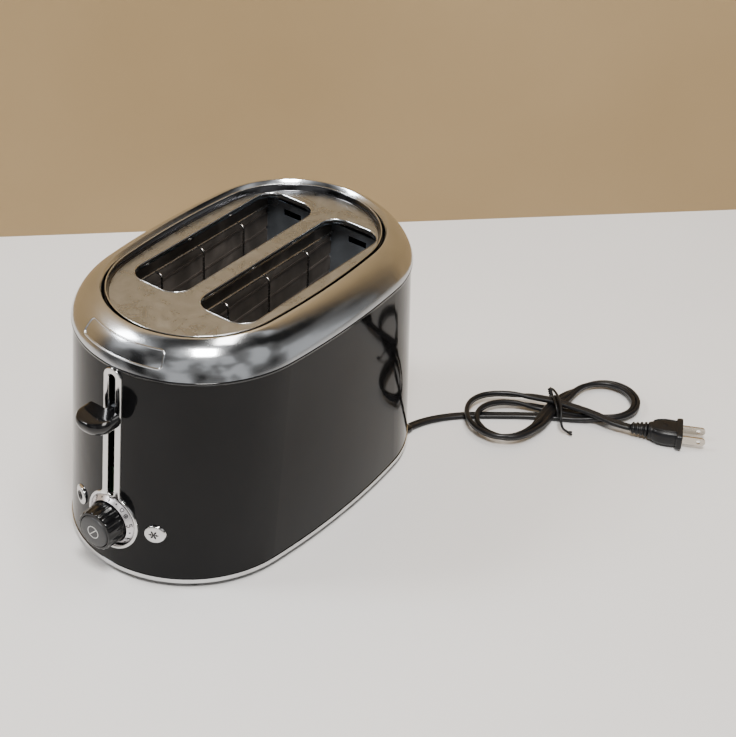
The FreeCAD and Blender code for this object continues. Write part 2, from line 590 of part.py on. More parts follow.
def build_lever_knob():
    """Paddle shaped like a tongue, with rounded edges, a neck for the slot and a socket for the arm."""
    body = new_body("lever_knob")
    outline = attached_sketch(body, "lever_outline", "XY_Plane", "dims.lever_z-dims.lever_height/2")
    draw_tongue(outline)
    paddle = pad(body, outline, "dims.lever_height")
    doc.recompute()
    back = value("-dims.lever_back")
    rounded = body.newObject("PartDesign::Fillet", "lever_rounding")
    edges = [i for i, edge in enumerate(body.Shape.Edges, start=1)
             if abs(edge.tangentAt(edge.FirstParameter).z) < 0.1 and edge.CenterOfMass.y < back - 0.5]
    rounded.Base = (paddle, ["Edge%d" % i for i in edges])
    bind(rounded, Radius="dims.lever_fillet")
    neck = attached_sketch(body, "lever_neck", "XY_Plane",
                           "dims.lever_z-dims.arm_height/2-dims.neck_shoulder")
    side, near, far = "dims.neck_half_width", "-dims.lever_back-2", "-dims.lever_back+6"
    draw_polygon(neck, [("-" + side, near), (side, near), (side, far), ("-" + side, far)])
    pad(body, neck, "dims.arm_height+2*dims.neck_shoulder")
    socket = attached_sketch(body, "lever_socket", "XY_Plane", "dims.lever_z+dims.arm_height/2")
    half = "dims.arm_thickness/2"
    draw_polygon(socket, [("-" + half, "-dims.lever_back-8"), (half, "-dims.lever_back-8"),
                          (half, "-dims.lever_back+7"), ("-" + half, "-dims.lever_back+7")])
    pocket(body, socket, "dims.arm_height")
    node(body, "lever_knob")


# ---------------------------------------------------------------- carriage

def build_carriage():
    """Bracket on the guide rod, two bread racks, lever arm, keeper for the magnet and contact pusher."""
    plate_y = ("dims.front_plate_y-4.2", "dims.front_plate_y-3")
    bracket = block("bracket_plate", ("-36", "36"), plate_y, ("dims.rack_z-2", "dims.lever_z+9"))
    corners = [block("bracket_relief%d" % i, x, ("-90", "0"), ("dims.rack_z+14", "dims.lever_z+10"))
               for i, x in enumerate((("-37", "-14"), ("14", "37")))]
    node(cut("carriage_bracket", bracket, corners), "carriage_bracket")
    bush = block("bush_block", ("-8", "8"), ("dims.rod_y-8", plate_y[0]),
                 ("dims.lever_z-20", "dims.lever_z+8"))
    bore = rod("bush_bore", "z", "dims.rod_radius+dims.rod_gap", ("0", "dims.rod_y", "dims.lever_z-30"), "60")
    node(cut("carriage_bush", bush, bore), "carriage_bush")
    block_node("lever_arm", ("-dims.arm_thickness/2", "dims.arm_thickness/2"),
               ("-dims.lever_back-8", "dims.rod_y-8"),
               ("dims.lever_z-dims.arm_height/2", "dims.lever_z+dims.arm_height/2"))
    shelf_low = "dims.magnet_top+dims.carriage_down+0.4"
    block_node("magnet_keeper", ("-38", "-14"), ("-89", plate_y[0]), (shelf_low, shelf_low + "+2"))
    block_node("contact_pusher", ("16", "34"), ("-89", plate_y[0]), (shelf_low, shelf_low + "+3"))
    for side, name in ((-1, "bread_rack_left"), (1, "bread_rack_right")):
        x = "%d*dims.rack_x" % side
        wall = ("%s-dims.rack_wall/2" % x, "%s+dims.rack_wall/2" % x)
        bar = block(name + "_bar", wall, (plate_y[1], "dims.rear_plate_y+4"),
                    ("dims.rack_z", "dims.rack_z+dims.rack_height"))
        fingers = [rod("%s_finger%d" % (name, i), "x", "1.1",
                       ("%s-9" % x, "dims.slot_front+12+%d*20" % i, "dims.rack_z+dims.rack_height-1.5"), "18")
                   for i in range(RACK_FINGERS)]
        node(fuse(name, [bar] + fingers), name)


def build_spring():
    """Round wire wound about the guide rod under the bush."""
    body = new_body("carriage_spring")
    section = attached_sketch(body, "spring_section", "XZ_Plane")
    section.addGeometry(Part.Circle(Vector(value("dims.spring_radius"), 0, 0), Vector(0, 0, 1), 0.7), False)
    constrain(section, "coil", "dims.spring_radius", "DistanceX", -1, 1, 0, 3)
    section.addConstraint(Sketcher.Constraint("PointOnObject", 0, 3, -1))
    constrain(section, "wire", "dims.spring_wire", "Radius", 0)
    coil = body.newObject("PartDesign::AdditiveHelix", "spring_coil")
    coil.Profile = section
    coil.ReferenceAxis = (section, ["V_Axis"])
    coil.Mode = 1
    bind(coil, Height="dims.lever_z-20.8-dims.spring_low", Turns=SPRING_TURNS)
    body.Label = "carriage_spring"
    bind(body, Placement__Base__y="dims.rod_y+dims.centre_shift", Placement__Base__z="dims.spring_low")
    nodes.append(body)


# ---------------------------------------------------------------- chamber

def build_frame_plates():
    """Front and rear plates of the toasting chamber, with slots for the racks and holes for the cages."""
    rack_slot = ("dims.rack_z-dims.carriage_down-2.5", "dims.rack_z+dims.rack_height+22.5")
    for name, y in (("front_frame_plate", "dims.front_plate_y"), ("rear_frame_plate", "dims.rear_plate_y")):
        depth = (y, y + "+dims.plate_wall")
        through = (y + "-2", y + "+3")
        sheet = block(name + "_sheet", ("-dims.plate_half_width", "dims.plate_half_width"), depth,
                      ("dims.plate_low", "dims.plate_high"))
        tab = block(name + "_tab", ("-5", "5"), depth, ("dims.plate_high", "dims.deck_z-dims.deck_wall"))
        legs = [block("%s_leg%d" % (name, i), x, depth, ("dims.shell_z+dims.pan_wall", "dims.plate_low"))
                for i, x in enumerate((("-58", "-50"), ("50", "58")))]
        openings = []
        if name.startswith("front"):
            legs.append(block("rod_shelf", ("-12", "12"), ("dims.rod_y-7", y),
                              ("dims.plate_high-2", "dims.plate_high")))
            openings.append(rod("rod_shelf_hole", "z", "dims.rod_radius",
                                ("0", "dims.rod_y", "dims.plate_high-3"), "5"))
        for side in (-1, 1):
            x = "%d*dims.rack_x" % side
            openings.append(block("%s_rack_slot%d" % (name, side + 1), (x + "-1.8", x + "+1.8"),
                                  through, rack_slot))
            for step in (-1, 1):
                pivot_x = "%s+%d*dims.cage_offset" % (x, step)
                openings.append(rod("%s_pivot_hole%d%d" % (name, side + 1, step + 1), "y",
                                    "dims.pivot_wire+dims.pivot_gap",
                                    (pivot_x, y + "-2", "dims.cage_pivot_z"), "5"))
            openings.append(block("%s_notch%d" % (name, side + 1), (x + "-13", x + "+2"), through,
                                  ("dims.plate_high-10", "dims.plate_high-5")))
        node(cut(name, fuse(name + "_blank", [sheet, tab] + legs), openings), name)


def build_heaters():
    """Mica cards between the plates, each wound with one flat ribbon, and bright shields outside."""
    span = ("dims.front_plate_y+dims.plate_wall", "dims.rear_plate_y")
    cards = (("left", "-dims.mica_outer-dims.mica_wall"), ("centre", "-dims.mica_wall/2"),
             ("right", "dims.mica_outer"))
    for side, low in cards:
        card = block("card_%s" % side, (low, low + "+dims.mica_wall"), span,
                     ("dims.mica_low", "dims.mica_high"))
        notches = []
        for i in range(RIBBON_TURNS):
            z = "dims.mica_low+8+%d*dims.ribbon_pitch" % i
            notches.append(block("notch_%s_front%d" % (side, i), (low + "-1", low + "+3"),
                                 (span[0] + "-1", span[0] + "+dims.notch_depth"), (z + "-1.4", z + "+1.4")))
            z += "+dims.ribbon_pitch/2"
            notches.append(block("notch_%s_rear%d" % (side, i), (low + "-1", low + "+3"),
                                 (span[1] + "-dims.notch_depth", span[1] + "+1"), (z + "-1.4", z + "+1.4")))
        node(cut("mica_" + side, card, notches), "mica_" + side)
        node(ribbon("heating_ribbon_" + side, value(low), value(low) + value("dims.mica_wall")),
             "heating_ribbon_" + side)
    for side, x in (("left", "-dims.mica_outer-4.2"), ("right", "dims.mica_outer+3.6")):
        block_node("heat_shield_" + side, (x, x + "+0.6"), span, ("dims.mica_low-6", "dims.mica_high"))


def ribbon(name, low_x, high_x):
    """One flat ribbon wound round a card: up a little at the rear edge, and again at the front edge."""
    wall, height, pitch = (value("dims.ribbon_" + part) for part in ("wall", "height", "pitch"))
    front = value("dims.front_plate_y+dims.plate_wall+dims.notch_depth")
    rear = value("dims.rear_plate_y-dims.notch_depth")
    first = value("dims.mica_low") + 8
    half = height / 2

    def strip(x, z_front, z_rear):
        corners = [Vector(x, front - wall, z_front - half), Vector(x, rear + wall, z_rear - half),
                   Vector(x, rear + wall, z_rear + half), Vector(x, front - wall, z_front + half)]
        return Part.Face(Part.makePolygon(corners + corners[:1])).extrude(Vector(wall, 0, 0))

    def wrap(y, z):
        return Part.makeBox(high_x - low_x + 2 * wall, wall, height, Vector(low_x - wall, y, z - half))

    pieces = []
    for i in range(RIBBON_TURNS):
        z = first + i * pitch
        pieces += [strip(high_x, z, z + pitch / 2), wrap(rear, z + pitch / 2)]
        if i < RIBBON_TURNS - 1:
            pieces += [strip(low_x - wall, z + pitch, z + pitch / 2), wrap(front - wall, z + pitch)]
    item = doc.addObject("Part::Feature", name)
    item.Shape = pieces[0].multiFuse(pieces[1:]).removeSplitter()
    return item


def build_cages():
    """Four wire guards that lean in on the bread; each turns about a wire near the chamber's floor."""
    for side, half in ((-1, "left"), (1, "right")):
        for step, place in ((-side, "inner"), (side, "outer")):
            name = "bread_guard_%s_%s" % (half, place)
            middle = side * value("dims.rack_x")
            item = doc.addObject("Part::Feature", name)
            item.Shape = cage_shape(middle + step * value("dims.cage_offset"),
                                    middle + step * value("dims.cage_wall_offset"))
            node(item, name)


def cage_shape(wire_x, wall_x):
    """Upright wires, hooked at the top towards the wall, on a pivot wire below and a rail above."""
    wire, pivot = value("dims.cage_wire"), value("dims.pivot_wire")
    top, low = value("dims.cage_top"), value("dims.cage_pivot_z")
    front, rear = value("dims.front_plate_y"), value("dims.rear_plate_y")
    way = math.copysign(1, wall_x - wire_x)
    bend = 2.5
    pieces = [Part.makeCylinder(pivot, rear - front + 3, Vector(wire_x, front - 1, low), Vector(0, 1, 0)),
              Part.makeCylinder(wire, rear - front - 12, Vector(wall_x, front + 6, top), Vector(0, 1, 0))]
    for i in (-1, 0, 1):
        y = value("dims.cage_mid") + i * value("dims.cage_step")
        turn = Vector(wire_x + way * bend, y, top - bend)
        corner = turn + Vector(-way, 0, 1) * (bend / math.sqrt(2))
        start, knee, hook = Vector(wire_x, y, low), Vector(wire_x, y, top - bend), Vector(turn.x, y, top)
        path = Part.Wire([Part.LineSegment(start, knee).toShape(), Part.Arc(knee, corner, hook).toShape(),
                          Part.LineSegment(hook, Vector(wall_x, y, top)).toShape()])
        section = Part.Wire(Part.Circle(start, Vector(0, 0, 1), wire * 0.95).toShape())
        pieces.append(path.makePipeShell([section], True, False))
    return pieces[0].multiFuse(pieces[1:])


def build_workings():
    """Guide rod, magnet, contacts, control board with its switches, and the mains terminal block."""
    floor = "dims.shell_z+dims.pan_wall"
    node(rod("guide_rod", "z", "dims.rod_radius", ("0", "dims.rod_y", floor), "dims.plate_high-(%s)" % floor),
         "guide_rod")
    nodes[-1].setExpression("Placement.Base.y", "dims.rod_y+dims.centre_shift")

    core = fuse("magnet_core_solid", [
        block("core_yoke", ("-37", "-15"), ("-88", "-80"), (floor, floor + "+5")),
        block("core_leg_left", ("-37", "-31"), ("-88", "-80"), (floor, "dims.magnet_top")),
        block("core_leg_right", ("-21", "-15"), ("-88", "-80"), (floor, "dims.magnet_top"))])
    node(core, "magnet_core")
    winding = rod("coil_winding", "z", "7", ("-18", "-84", floor + "+6"), "dims.magnet_top-4-(%s)-6" % floor)
    window = block("coil_window", ("-21", "-15"), ("-88", "-80"), ("0", "60"))
    node(cut("magnet_coil", winding, window), "magnet_coil")
    block_node("power_contacts", ("15", "35"), ("-89", "-79"), (floor, "dims.magnet_top"))

    board_back = "dims.board_y+1.6"
    block_node("control_board", ("-42", "42"), ("dims.board_y", board_back), ("16", "56"))
    bracket = fuse("bracket_solid", [
        block("bracket_wall", ("-42", "42"), (board_back, board_back + "+2"), (floor, "56")),
        block("bracket_foot", ("-42", "42"), (board_back + "+2", board_back + "+8"), (floor, floor + "+2"))])
    node(bracket, "board_bracket")
    pot = block("pot_block", ("-11", "11"), ("dims.board_y-7", "dims.board_y"),
                ("dims.dial_z-11", "dims.dial_z+11"))
    bore = rod("pot_bore", "y", "dims.hub_radius+0.06", ("0", "dims.board_y-8", "dims.dial_z"), "8")
    node(cut("browning_control", pot, bore), "browning_control")
    switches = (("cancel_switch", "0", "dims.dial_z", "1.9"),
                ("bagel_switch", "-dims.button_x", "dims.button_z", "3"),
                ("frozen_switch", "dims.button_x", "dims.button_z", "3"))
    for name, x, z, half in switches:
        case = block(name + "_case", ("%s-%s" % (x, half), "%s+%s" % (x, half)),
                     ("dims.board_y-2.4", "dims.board_y"), ("%s-%s" % (z, half), "%s+%s" % (z, half)))
        nub = rod(name + "_nub", "y", "1.2", (x, "dims.board_y-3.8", z), "2")
        node(fuse(name, [case, nub]), name)
    block_node("terminal_block", ("46.5", "58.5"),
               ("dims.rear_plate_y+dims.plate_wall", "dims.rear_plate_y+13"), ("26", "44"))


# ---------------------------------------------------------------- mains lead

def rounded_path(points, height):
    """Straight runs joined by tangent arcs, each as large as its two runs allow; returns the wire."""
    corners = [Vector(x, y, height) for x, y in points]
    edges, start = [], corners[0]
    for before, corner, after in zip(corners, corners[1:], corners[2:]):
        into, out = (corner - before), (after - corner)
        turn = into.getAngle(out)
        trim = 0.45 * min(into.Length, out.Length)
        into.normalize()
        out.normalize()
        first, last = corner - into * trim, corner + out * trim
        radius = trim / math.tan(turn / 2)
        inward = (out - into).normalize()
        middle = corner + inward * (radius / math.cos(turn / 2) - radius)
        print("bend radius %.1f" % radius)
        edges += [Part.LineSegment(start, first).toShape(), Part.Arc(first, middle, last).toShape()]
        start = last
    edges.append(Part.LineSegment(start, corners[-1]).toShape())
    return Part.Wire(edges)


def flat_cord(name, points):
    """The flat twin cord along a route on the table."""
    width, thickness = value("dims.cord_width"), value("dims.cord_thickness")
    path = rounded_path(points, thickness / 2)
    start = Vector(*points[0], thickness / 2)
    along = (Vector(*points[1], thickness / 2) - start).normalize()
    across, up = along.cross(Vector(0, 0, 1)), Vector(0, 0, 1)
    flat, round_end = across * (width / 2 - thickness / 2), thickness / 2
    top, low = start + up * round_end, start - up * round_end
    section = Part.Wire([Part.LineSegment(low - flat, low + flat).toShape(),
                         Part.Arc(low + flat, start + flat + across * round_end, top + flat).toShape(),
                         Part.LineSegment(top + flat, top - flat).toShape(),
                         Part.Arc(top - flat, start - flat - across * round_end, low - flat).toShape()])
    item = doc.addObject("Part::Feature", name)
    item.Shape = path.makePipeShell([section], True, False)
    area = Part.Face(section).Area
    print("%s: length %.1f, volume %.0f, section x length %.0f" % (name, path.Length, item.Shape.Volume,
                                                                   area * path.Length))
    return node(item, name)


def along_bundle(distance, across=0.0, z=0.0):
    angle = math.radians(BUNDLE_ANGLE)
    return Vector(TIE_CENTRE[0] + distance * math.cos(angle) - across * math.sin(angle),
                  TIE_CENTRE[1] + distance * math.sin(angle) + across * math.cos(angle), z)


def build_bundle():
    """The figure of eight as one solid: two round lobes drawn in to a waist under the tie."""
    low, high = value("dims.bundle_low"), value("dims.bundle_high")
    pieces = []
    for centre, radius in LOBES:
        pieces.append(Part.makeCylinder(radius, high - low, along_bundle(centre, z=low)))
        # the flanks run from the waist to touch the lobe
        reach = abs(centre)
        way = math.copysign(1, centre)
        touch = math.acos(radius / reach)
        lobe = [along_bundle(centre - way * radius * math.cos(touch), side * radius * math.sin(touch), low)
                for side in (1, -1)]
        waist = [along_bundle(-way * 3, side * BUNDLE_WAIST, low) for side in (-1, 1)]
        outline = Part.makePolygon(lobe + waist + lobe[:1])
        pieces.append(Part.Face(outline).extrude(Vector(0, 0, high - low)))
    item = doc.addObject("Part::Feature", "cord_bundle")
    item.Shape = pieces[0].multiFuse(pieces[1:]).removeSplitter()
    node(item, "cord_bundle")
    return item


def build_tie(bundle):
    """Wire tie: a flat band round the waist, cut to the bundle it holds."""
    wall, width = 0.8, 5.0
    low, high = value("dims.bundle_low") - wall, value("dims.bundle_high") + wall
    half = BUNDLE_WAIST + 3.6
    corners = [along_bundle(x, y, low) for x, y in ((-width / 2, -half), (width / 2, -half),
                                                    (width / 2, half), (-width / 2, half))]
    band = Part.Face(Part.makePolygon(corners + corners[:1])).extrude(Vector(0, 0, high - low))
    item = doc.addObject("Part::Feature", "twist_tie")
    item.Shape = band.cut(bundle.Shape)
    node(item, "twist_tie")


def build_plug():
    """Ribbed sleeve, moulded body with a broad face, and two blades."""
    centre = "dims.plug_z"
    face = Vector(PLUG_FACE[0], PLUG_FACE[1] + value("dims.centre_shift"), 0)
    place = Placement(face, Rotation(Vector(0, 0, 1), PLUG_ANGLE))
    back = "-(dims.plug_body_length+dims.plug_sleeve)"
    sleeve_ribs = [rod("sleeve_rib%d" % i, "x", "4.6+%d*0.35" % i,
                       (back + "+%g" % (0.4 + i * 2.9), "0", centre), "1.9")
                   for i in range(SLEEVE_RIBS)]
    core = rod("sleeve_core", "x", "3.9", (back, "0", centre), "dims.plug_sleeve")
    sleeve = fuse("plug_sleeve", sleeve_ribs + [core])
    body = new_body("plug_moulding")
    outline = attached_sketch(body, "plug_outline", "XY_Plane", "dims.plug_z-dims.plug_half_height")
    rear = "-dims.plug_body_length"
    flange = "-3.6"
    draw_polygon(outline, [("0", "-12.5"), ("0", "12.5"), (flange, "12.5"), (flange, "10.4"),
                           (rear + "+6", "9.4"), (rear, "6.2"), (rear, "-6.2"), (rear + "+6", "-9.4"),
                           (flange, "-10.4"), (flange, "-12.5")])
    pad(body, outline, "2*dims.plug_half_height")
    blades = []
    for i, side in enumerate((-1, 1)):
        middle = "%d*dims.blade_spacing/2" % side
        strip = block("blade_strip%d" % i, ("-4", "dims.blade_length"), (middle + "-0.75", middle + "+0.75"),
                      ("dims.plug_z-3.2", "dims.plug_z+3.2"))
        eye = rod("blade_eye%d" % i, "y", "1.6", ("dims.blade_length-5", middle + "-2", "dims.plug_z"), "4")
        blades.append(cut("plug_blade_%d" % (i + 1), strip, eye))
    sockets = [block("blade_socket%d" % i, ("-4", "5"), ("%d*dims.blade_spacing/2-0.75" % side,
                                                         "%d*dims.blade_spacing/2+0.75" % side),
                     ("dims.plug_z-3.2", "dims.plug_z+3.2")) for i, side in enumerate((-1, 1))]
    moulding = cut("plug_body", body, sockets)
    for item in [sleeve, moulding] + blades:
        item.Label = item.Name
        item.Placement = place
        nodes.append(item)


def build_lead_clip():
    """Block under the pan that grips the lead where it leaves the base."""
    item = doc.addObject("Part::Box", "lead_clip")
    first, second = (Vector(*point, 0) for point in LEAD_ROUTE[:2])
    angle = math.degrees(math.atan2(second.y - first.y, second.x - first.x))
    turn = Rotation(Vector(0, 0, 1), angle)
    length, width = 15.0, 13.0
    lift = 0.4
    bind(item, Length=length, Width=width, Height="dims.shell_z-%g" % lift)
    corner = first + turn.multVec(Vector(-length, -width / 2, lift))
    corner.y += value("dims.centre_shift")
    item.Placement = Placement(corner, turn)
    item.Label = "lead_clip"
    nodes.append(item)


def check_and_export():
    """Stop on a failed object or a bad shape; otherwise write each sub-part to its own file."""
    doc.recompute()
    failed = [item.Name for item in doc.Objects if "Invalid" in item.State or "Error" in item.State]
    if failed:
        raise RuntimeError("failed objects: " + ", ".join(failed))
    for item in nodes:
        if item.Shape.isNull() or not item.Shape.isValid() or item.Shape.Volume < 1:
            raise RuntimeError("bad shape: " + item.Label)
    os.makedirs("parts", exist_ok=True)
    for item in nodes:
        item.Shape.exportStep("parts/%s.step" % item.Label)
    print("%d sub-parts" % len(nodes))


def main():
    fill_sheet()
    outside = oval_loft("shell_outside", "0")
    build_shell(outside)
    build_shoulder()
    build_deck()
    build_base()
    build_tray()
    build_bezel(outside)
    build_dial()
    build_buttons()
    build_lever_knob()
    build_carriage()
    build_spring()
    build_frame_plates()
    build_heaters()
    build_cages()
    build_workings()
    build_lead_clip()
    flat_cord("power_cord", LEAD_ROUTE)
    flat_cord("power_cord_tail", TAIL_ROUTE)
    build_tie(build_bundle())
    build_plug()
    check_and_export()


main()
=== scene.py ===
import json
from math import atan2, copysign, cos, hypot, pi, radians, sin, sqrt

import bmesh
import bpy
from mathutils import Matrix, Vector


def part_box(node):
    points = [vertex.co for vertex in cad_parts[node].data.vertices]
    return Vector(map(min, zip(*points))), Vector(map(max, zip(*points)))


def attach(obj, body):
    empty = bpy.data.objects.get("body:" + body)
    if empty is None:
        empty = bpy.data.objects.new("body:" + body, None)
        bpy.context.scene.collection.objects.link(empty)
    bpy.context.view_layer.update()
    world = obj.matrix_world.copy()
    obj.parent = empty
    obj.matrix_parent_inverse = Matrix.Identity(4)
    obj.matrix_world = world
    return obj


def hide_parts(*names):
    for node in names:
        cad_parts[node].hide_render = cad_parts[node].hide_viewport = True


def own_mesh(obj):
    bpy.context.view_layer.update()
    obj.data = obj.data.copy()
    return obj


# Pop up toaster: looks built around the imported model. Metres, +Z up, controls at -Y.

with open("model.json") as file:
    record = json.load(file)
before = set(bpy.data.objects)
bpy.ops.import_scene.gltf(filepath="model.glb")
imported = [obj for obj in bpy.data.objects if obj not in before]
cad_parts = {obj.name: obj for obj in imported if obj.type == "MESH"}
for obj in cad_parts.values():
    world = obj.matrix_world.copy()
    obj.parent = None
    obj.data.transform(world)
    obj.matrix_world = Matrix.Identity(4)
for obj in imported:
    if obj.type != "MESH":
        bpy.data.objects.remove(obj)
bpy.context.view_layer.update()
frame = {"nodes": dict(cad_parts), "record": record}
NODES = frame["nodes"]
MM = 0.001


# ---------------- sizes, from the frame where it has them

SHIFT = 7.0 * MM                        # the housing's middle lies this far along +Y
SHELL_LOW, SHELL_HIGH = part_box("shell")[0][2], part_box("shell")[1][2]
CREST_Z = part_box("shoulder_ring")[1][2]
DIAL_Z = sum(corner[2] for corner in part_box("dial_scale")) / 2
DIAL_RADIUS = 20.4 * MM
KNOB_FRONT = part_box("browning_knob")[0][1]
CANCEL_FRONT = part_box("cancel_button")[0][1]
LEVER_Z = sum(corner[2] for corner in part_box("lever_knob")) / 2
LEVER_BACK = -134.2 * MM + SHIFT
LEVER_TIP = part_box("lever_knob")[0][1]
DECK_Z = 169.4 * MM
# ovals of four arcs: half length, half width, end radius
BASE_OVAL = (135.0 * MM, 82.4 * MM, 78.8 * MM)
TOP_OVAL = (125.3 * MM, 81.4 * MM, 79.2 * MM)
SEAM_TOP = SHELL_HIGH + 1.2 * MM
CREST_INSET = 16.5 * MM
SLOTS = [(-48.3, -6.1), (6.1, 48.3)]    # bread slots across X, mm
SLOT_FRONT, SLOT_REAR, SLOT_CORNER = -60.5 * MM + SHIFT, 81.5 * MM + SHIFT, 13.0 * MM
LEVER_SLOT = (60.0 * MM, 148.5 * MM, 2.7 * MM)   # low, high, half width
BUTTON_X, BUTTON_Z = 31.3 * MM, 41.0 * MM


# ---------------- meshes

def new_object(name, data):
    item = bpy.data.objects.new(name, data)
    bpy.context.scene.collection.objects.link(item)
    return item


def face_outward(mesh, join=None):
    """Turn every face outward; vertices closer together than join become one."""
    work = bmesh.new()
    work.from_mesh(mesh)
    if join:
        bmesh.ops.remove_doubles(work, verts=work.verts, dist=join)
    bmesh.ops.recalc_face_normals(work, faces=work.faces)
    work.to_mesh(mesh)
    work.free()


def crease(item, degrees):
    """Keep edges sharper than an angle crisp."""
    item.data.set_sharp_from_angle(angle=radians(degrees))


def add_mesh(name, verts, faces, finish, body="housing", replaced=(), smooth=True, crisp=None):
    """A piece that rides on a body and stands for CAD nodes; edges sharper than crisp stay sharp."""
    mesh = bpy.data.meshes.new(name)
    mesh.from_pydata([tuple(v) for v in verts], [], faces)
    mesh.validate()
    face_outward(mesh)
    for polygon in mesh.polygons:
        polygon.use_smooth = smooth
    item = new_object(name, mesh)
    mesh.materials.append(MATERIALS[finish])
    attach(item, body)
    if replaced:
        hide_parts(*replaced)
    if crisp:
        crease(item, crisp)
    return item


def ring_faces(rings, count, closed=False):
    """Quads between rings of equal count, one after another."""
    faces = []
    last = rings if closed else rings - 1
    for i in range(last):
        for j in range(count):
            a, b = i * count + j, i * count + (j + 1) % count
            c = ((i + 1) % rings) * count
            faces.append((a, b, c + (j + 1) % count, c + j))
    return faces


def skin(name, rings, finish, body="housing", caps=False, closed=False, **more):
    """A surface through closed rings of points; caps close the first and the last ring."""
    count = len(rings[0])
    verts = [point for ring in rings for point in ring]
    faces = ring_faces(len(rings), count, closed)
    if caps:
        last = (len(rings) - 1) * count
        faces += [tuple(range(count)), tuple(range(last, last + count))]
    return add_mesh(name, verts, faces, finish, body, **more)


def filled(loops):
    """Triangles between a closed outline and its holes, all in one plane: vertices and faces."""
    work = bmesh.new()
    edges = []
    for loop in loops:
        verts = [work.verts.new((x / MM, y / MM, 0)) for x, y in loop]
        edges += [work.edges.new((verts[i - 1], verts[i])) for i in range(len(verts))]
    bmesh.ops.triangle_fill(work, use_beauty=True, use_dissolve=False, edges=edges, normal=(0, 0, 1))
    work.verts.index_update()
    points = [vert.co * MM for vert in work.verts]
    faces = [tuple(vert.index for vert in face.verts) for face in work.faces]
    work.free()
    return points, faces


def solid_plate(name, loops, thickness, place, finish, **more):
    """A flat plate with holes, thickness along local Z, put in place by a matrix."""
    points, faces = filled(loops)
    count = len(points)
    verts = [place @ Vector((p.x, p.y, 0)) for p in points]
    verts += [place @ Vector((p.x, p.y, thickness)) for p in points]
    all_faces = [tuple(reversed(f)) for f in faces] + [tuple(i + count for i in f) for f in faces]
    start = 0
    for loop in loops:
        n = len(loop)
        for i in range(n):
            a, b = start + i, start + (i + 1) % n
            all_faces.append((a, b, b + count, a + count))
        start += n
    return add_mesh(name, verts, all_faces, finish, smooth=False, **more)


def angles(start, sweep, steps, last=True):
    """Angles in equal steps; last says whether the end of the sweep is one of them."""
    return [start + sweep * i / steps for i in range(steps + last)]


def full_turn(steps):
    return angles(0, 2 * pi, steps, last=False)


def polar(radius, angle, centre=(0.0, 0.0)):
    return centre[0] + radius * cos(angle), centre[1] + radius * sin(angle)


def circle(radius, centre=(0.0, 0.0), count=48):
    return [polar(radius, angle, centre) for angle in full_turn(count)]


def rounded_box(low_x, high_x, low_y, high_y, radius, per_corner=8):
    """A rectangle with round corners, anticlockwise."""
    low_x, high_x, low_y, high_y = low_x + radius, high_x - radius, low_y + radius, high_y - radius
    corners = ((high_x, high_y), (low_x, high_y), (low_x, low_y), (high_x, low_y))
    return [polar(radius, angle, corner) for quarter, corner in enumerate(corners)
            for angle in angles(quarter * pi / 2, pi / 2, per_corner)]


def capsule(low, high, half, count=12):
    """An upright slot outline with round ends about x = 0, anticlockwise in (x, z)."""
    return [polar(half, angle, (0.0, centre)) for centre, start in ((high - half, 0.0), (low + half, pi))
            for angle in angles(start, pi, count)]


def moved_in(loop, distance):
    """A closed outline moved inward, for an anticlockwise loop."""
    out = []
    for i, (x, y) in enumerate(loop):
        px, py = loop[i - 1]
        nx, ny = loop[(i + 1) % len(loop)]
        along = Vector((nx - px, ny - py)).normalized()
        out.append((x - along.y * distance, y + along.x * distance))
    return out


SIDE_STEPS, END_STEPS = 24, 72          # points on each side arc and end arc of the housing's outline


def oval_arcs(oval):
    """Where the end arcs' centres are, the side arcs' radius, and the angle at which the two meet."""
    half_length, half_width, end = oval
    centre = half_length - end
    side = (end ** 2 - centre ** 2 - half_width ** 2) / (2 * (end - half_width))
    return centre, side, atan2(centre, side - half_width)


def oval_angles(oval):
    turn = oval_arcs(oval)[2]
    spans = ((-turn, turn, SIDE_STEPS), (turn, pi - turn, END_STEPS),
             (pi - turn, pi + turn, SIDE_STEPS), (pi + turn, 2 * pi - turn, END_STEPS))
    return [angle for start, stop, steps in spans for angle in angles(start, stop - start, steps, last=False)]


def oval_point(oval, angle, inset=0.0):
    """A point of the outline moved inward, by the angle of its outward normal."""
    half_width, end = oval[1:]
    centre, side, turn = oval_arcs(oval)
    across, along = cos(angle), sin(angle)
    if abs(along) * cos(turn) <= abs(across) * sin(turn) + 1e-12:
        shift = copysign(side - half_width, across)
        return (side - inset) * across - shift, (side - inset) * along
    return (end - inset) * across, copysign(centre, along) + (end - inset) * along


def oval_ring(oval, inset, z):
    return [Vector((x, y + SHIFT, z)) for x, y in
            (oval_point(oval, angle, inset) for angle in oval_angles(oval))]


def front_y(x, z):
    """Where the painted shell's front surface is, at x and height z."""
    rise = (z - SHELL_LOW) / (SHELL_HIGH - SHELL_LOW)
    reach = [half_length - end + sqrt(end ** 2 - x ** 2)
             for half_length, _, end in (BASE_OVAL, TOP_OVAL)]
    return SHIFT - reach[0] - (reach[1] - reach[0]) * rise


def on_front(x, z, proud):
    return Vector((x, front_y(x, z) - proud, z))


# ---------------- materials

def fill(node, values):
    for name, value in values.items():
        node.inputs[name].default_value = value


def principled(material):
    return material.node_tree.nodes["Principled BSDF"]


def shader(name, colour, metallic, roughness, coat=0.0, coat_roughness=0.05, specular=0.5, anisotropic=0.0):
    material = bpy.data.materials.new(name)
    material.use_nodes = True
    fill(principled(material), {
        "Base Color": (*colour, 1), "Metallic": metallic, "Roughness": roughness, "Coat Weight": coat,
        "Coat Roughness": coat_roughness, "Specular IOR Level": specular, "Anisotropic": anisotropic})
    return material


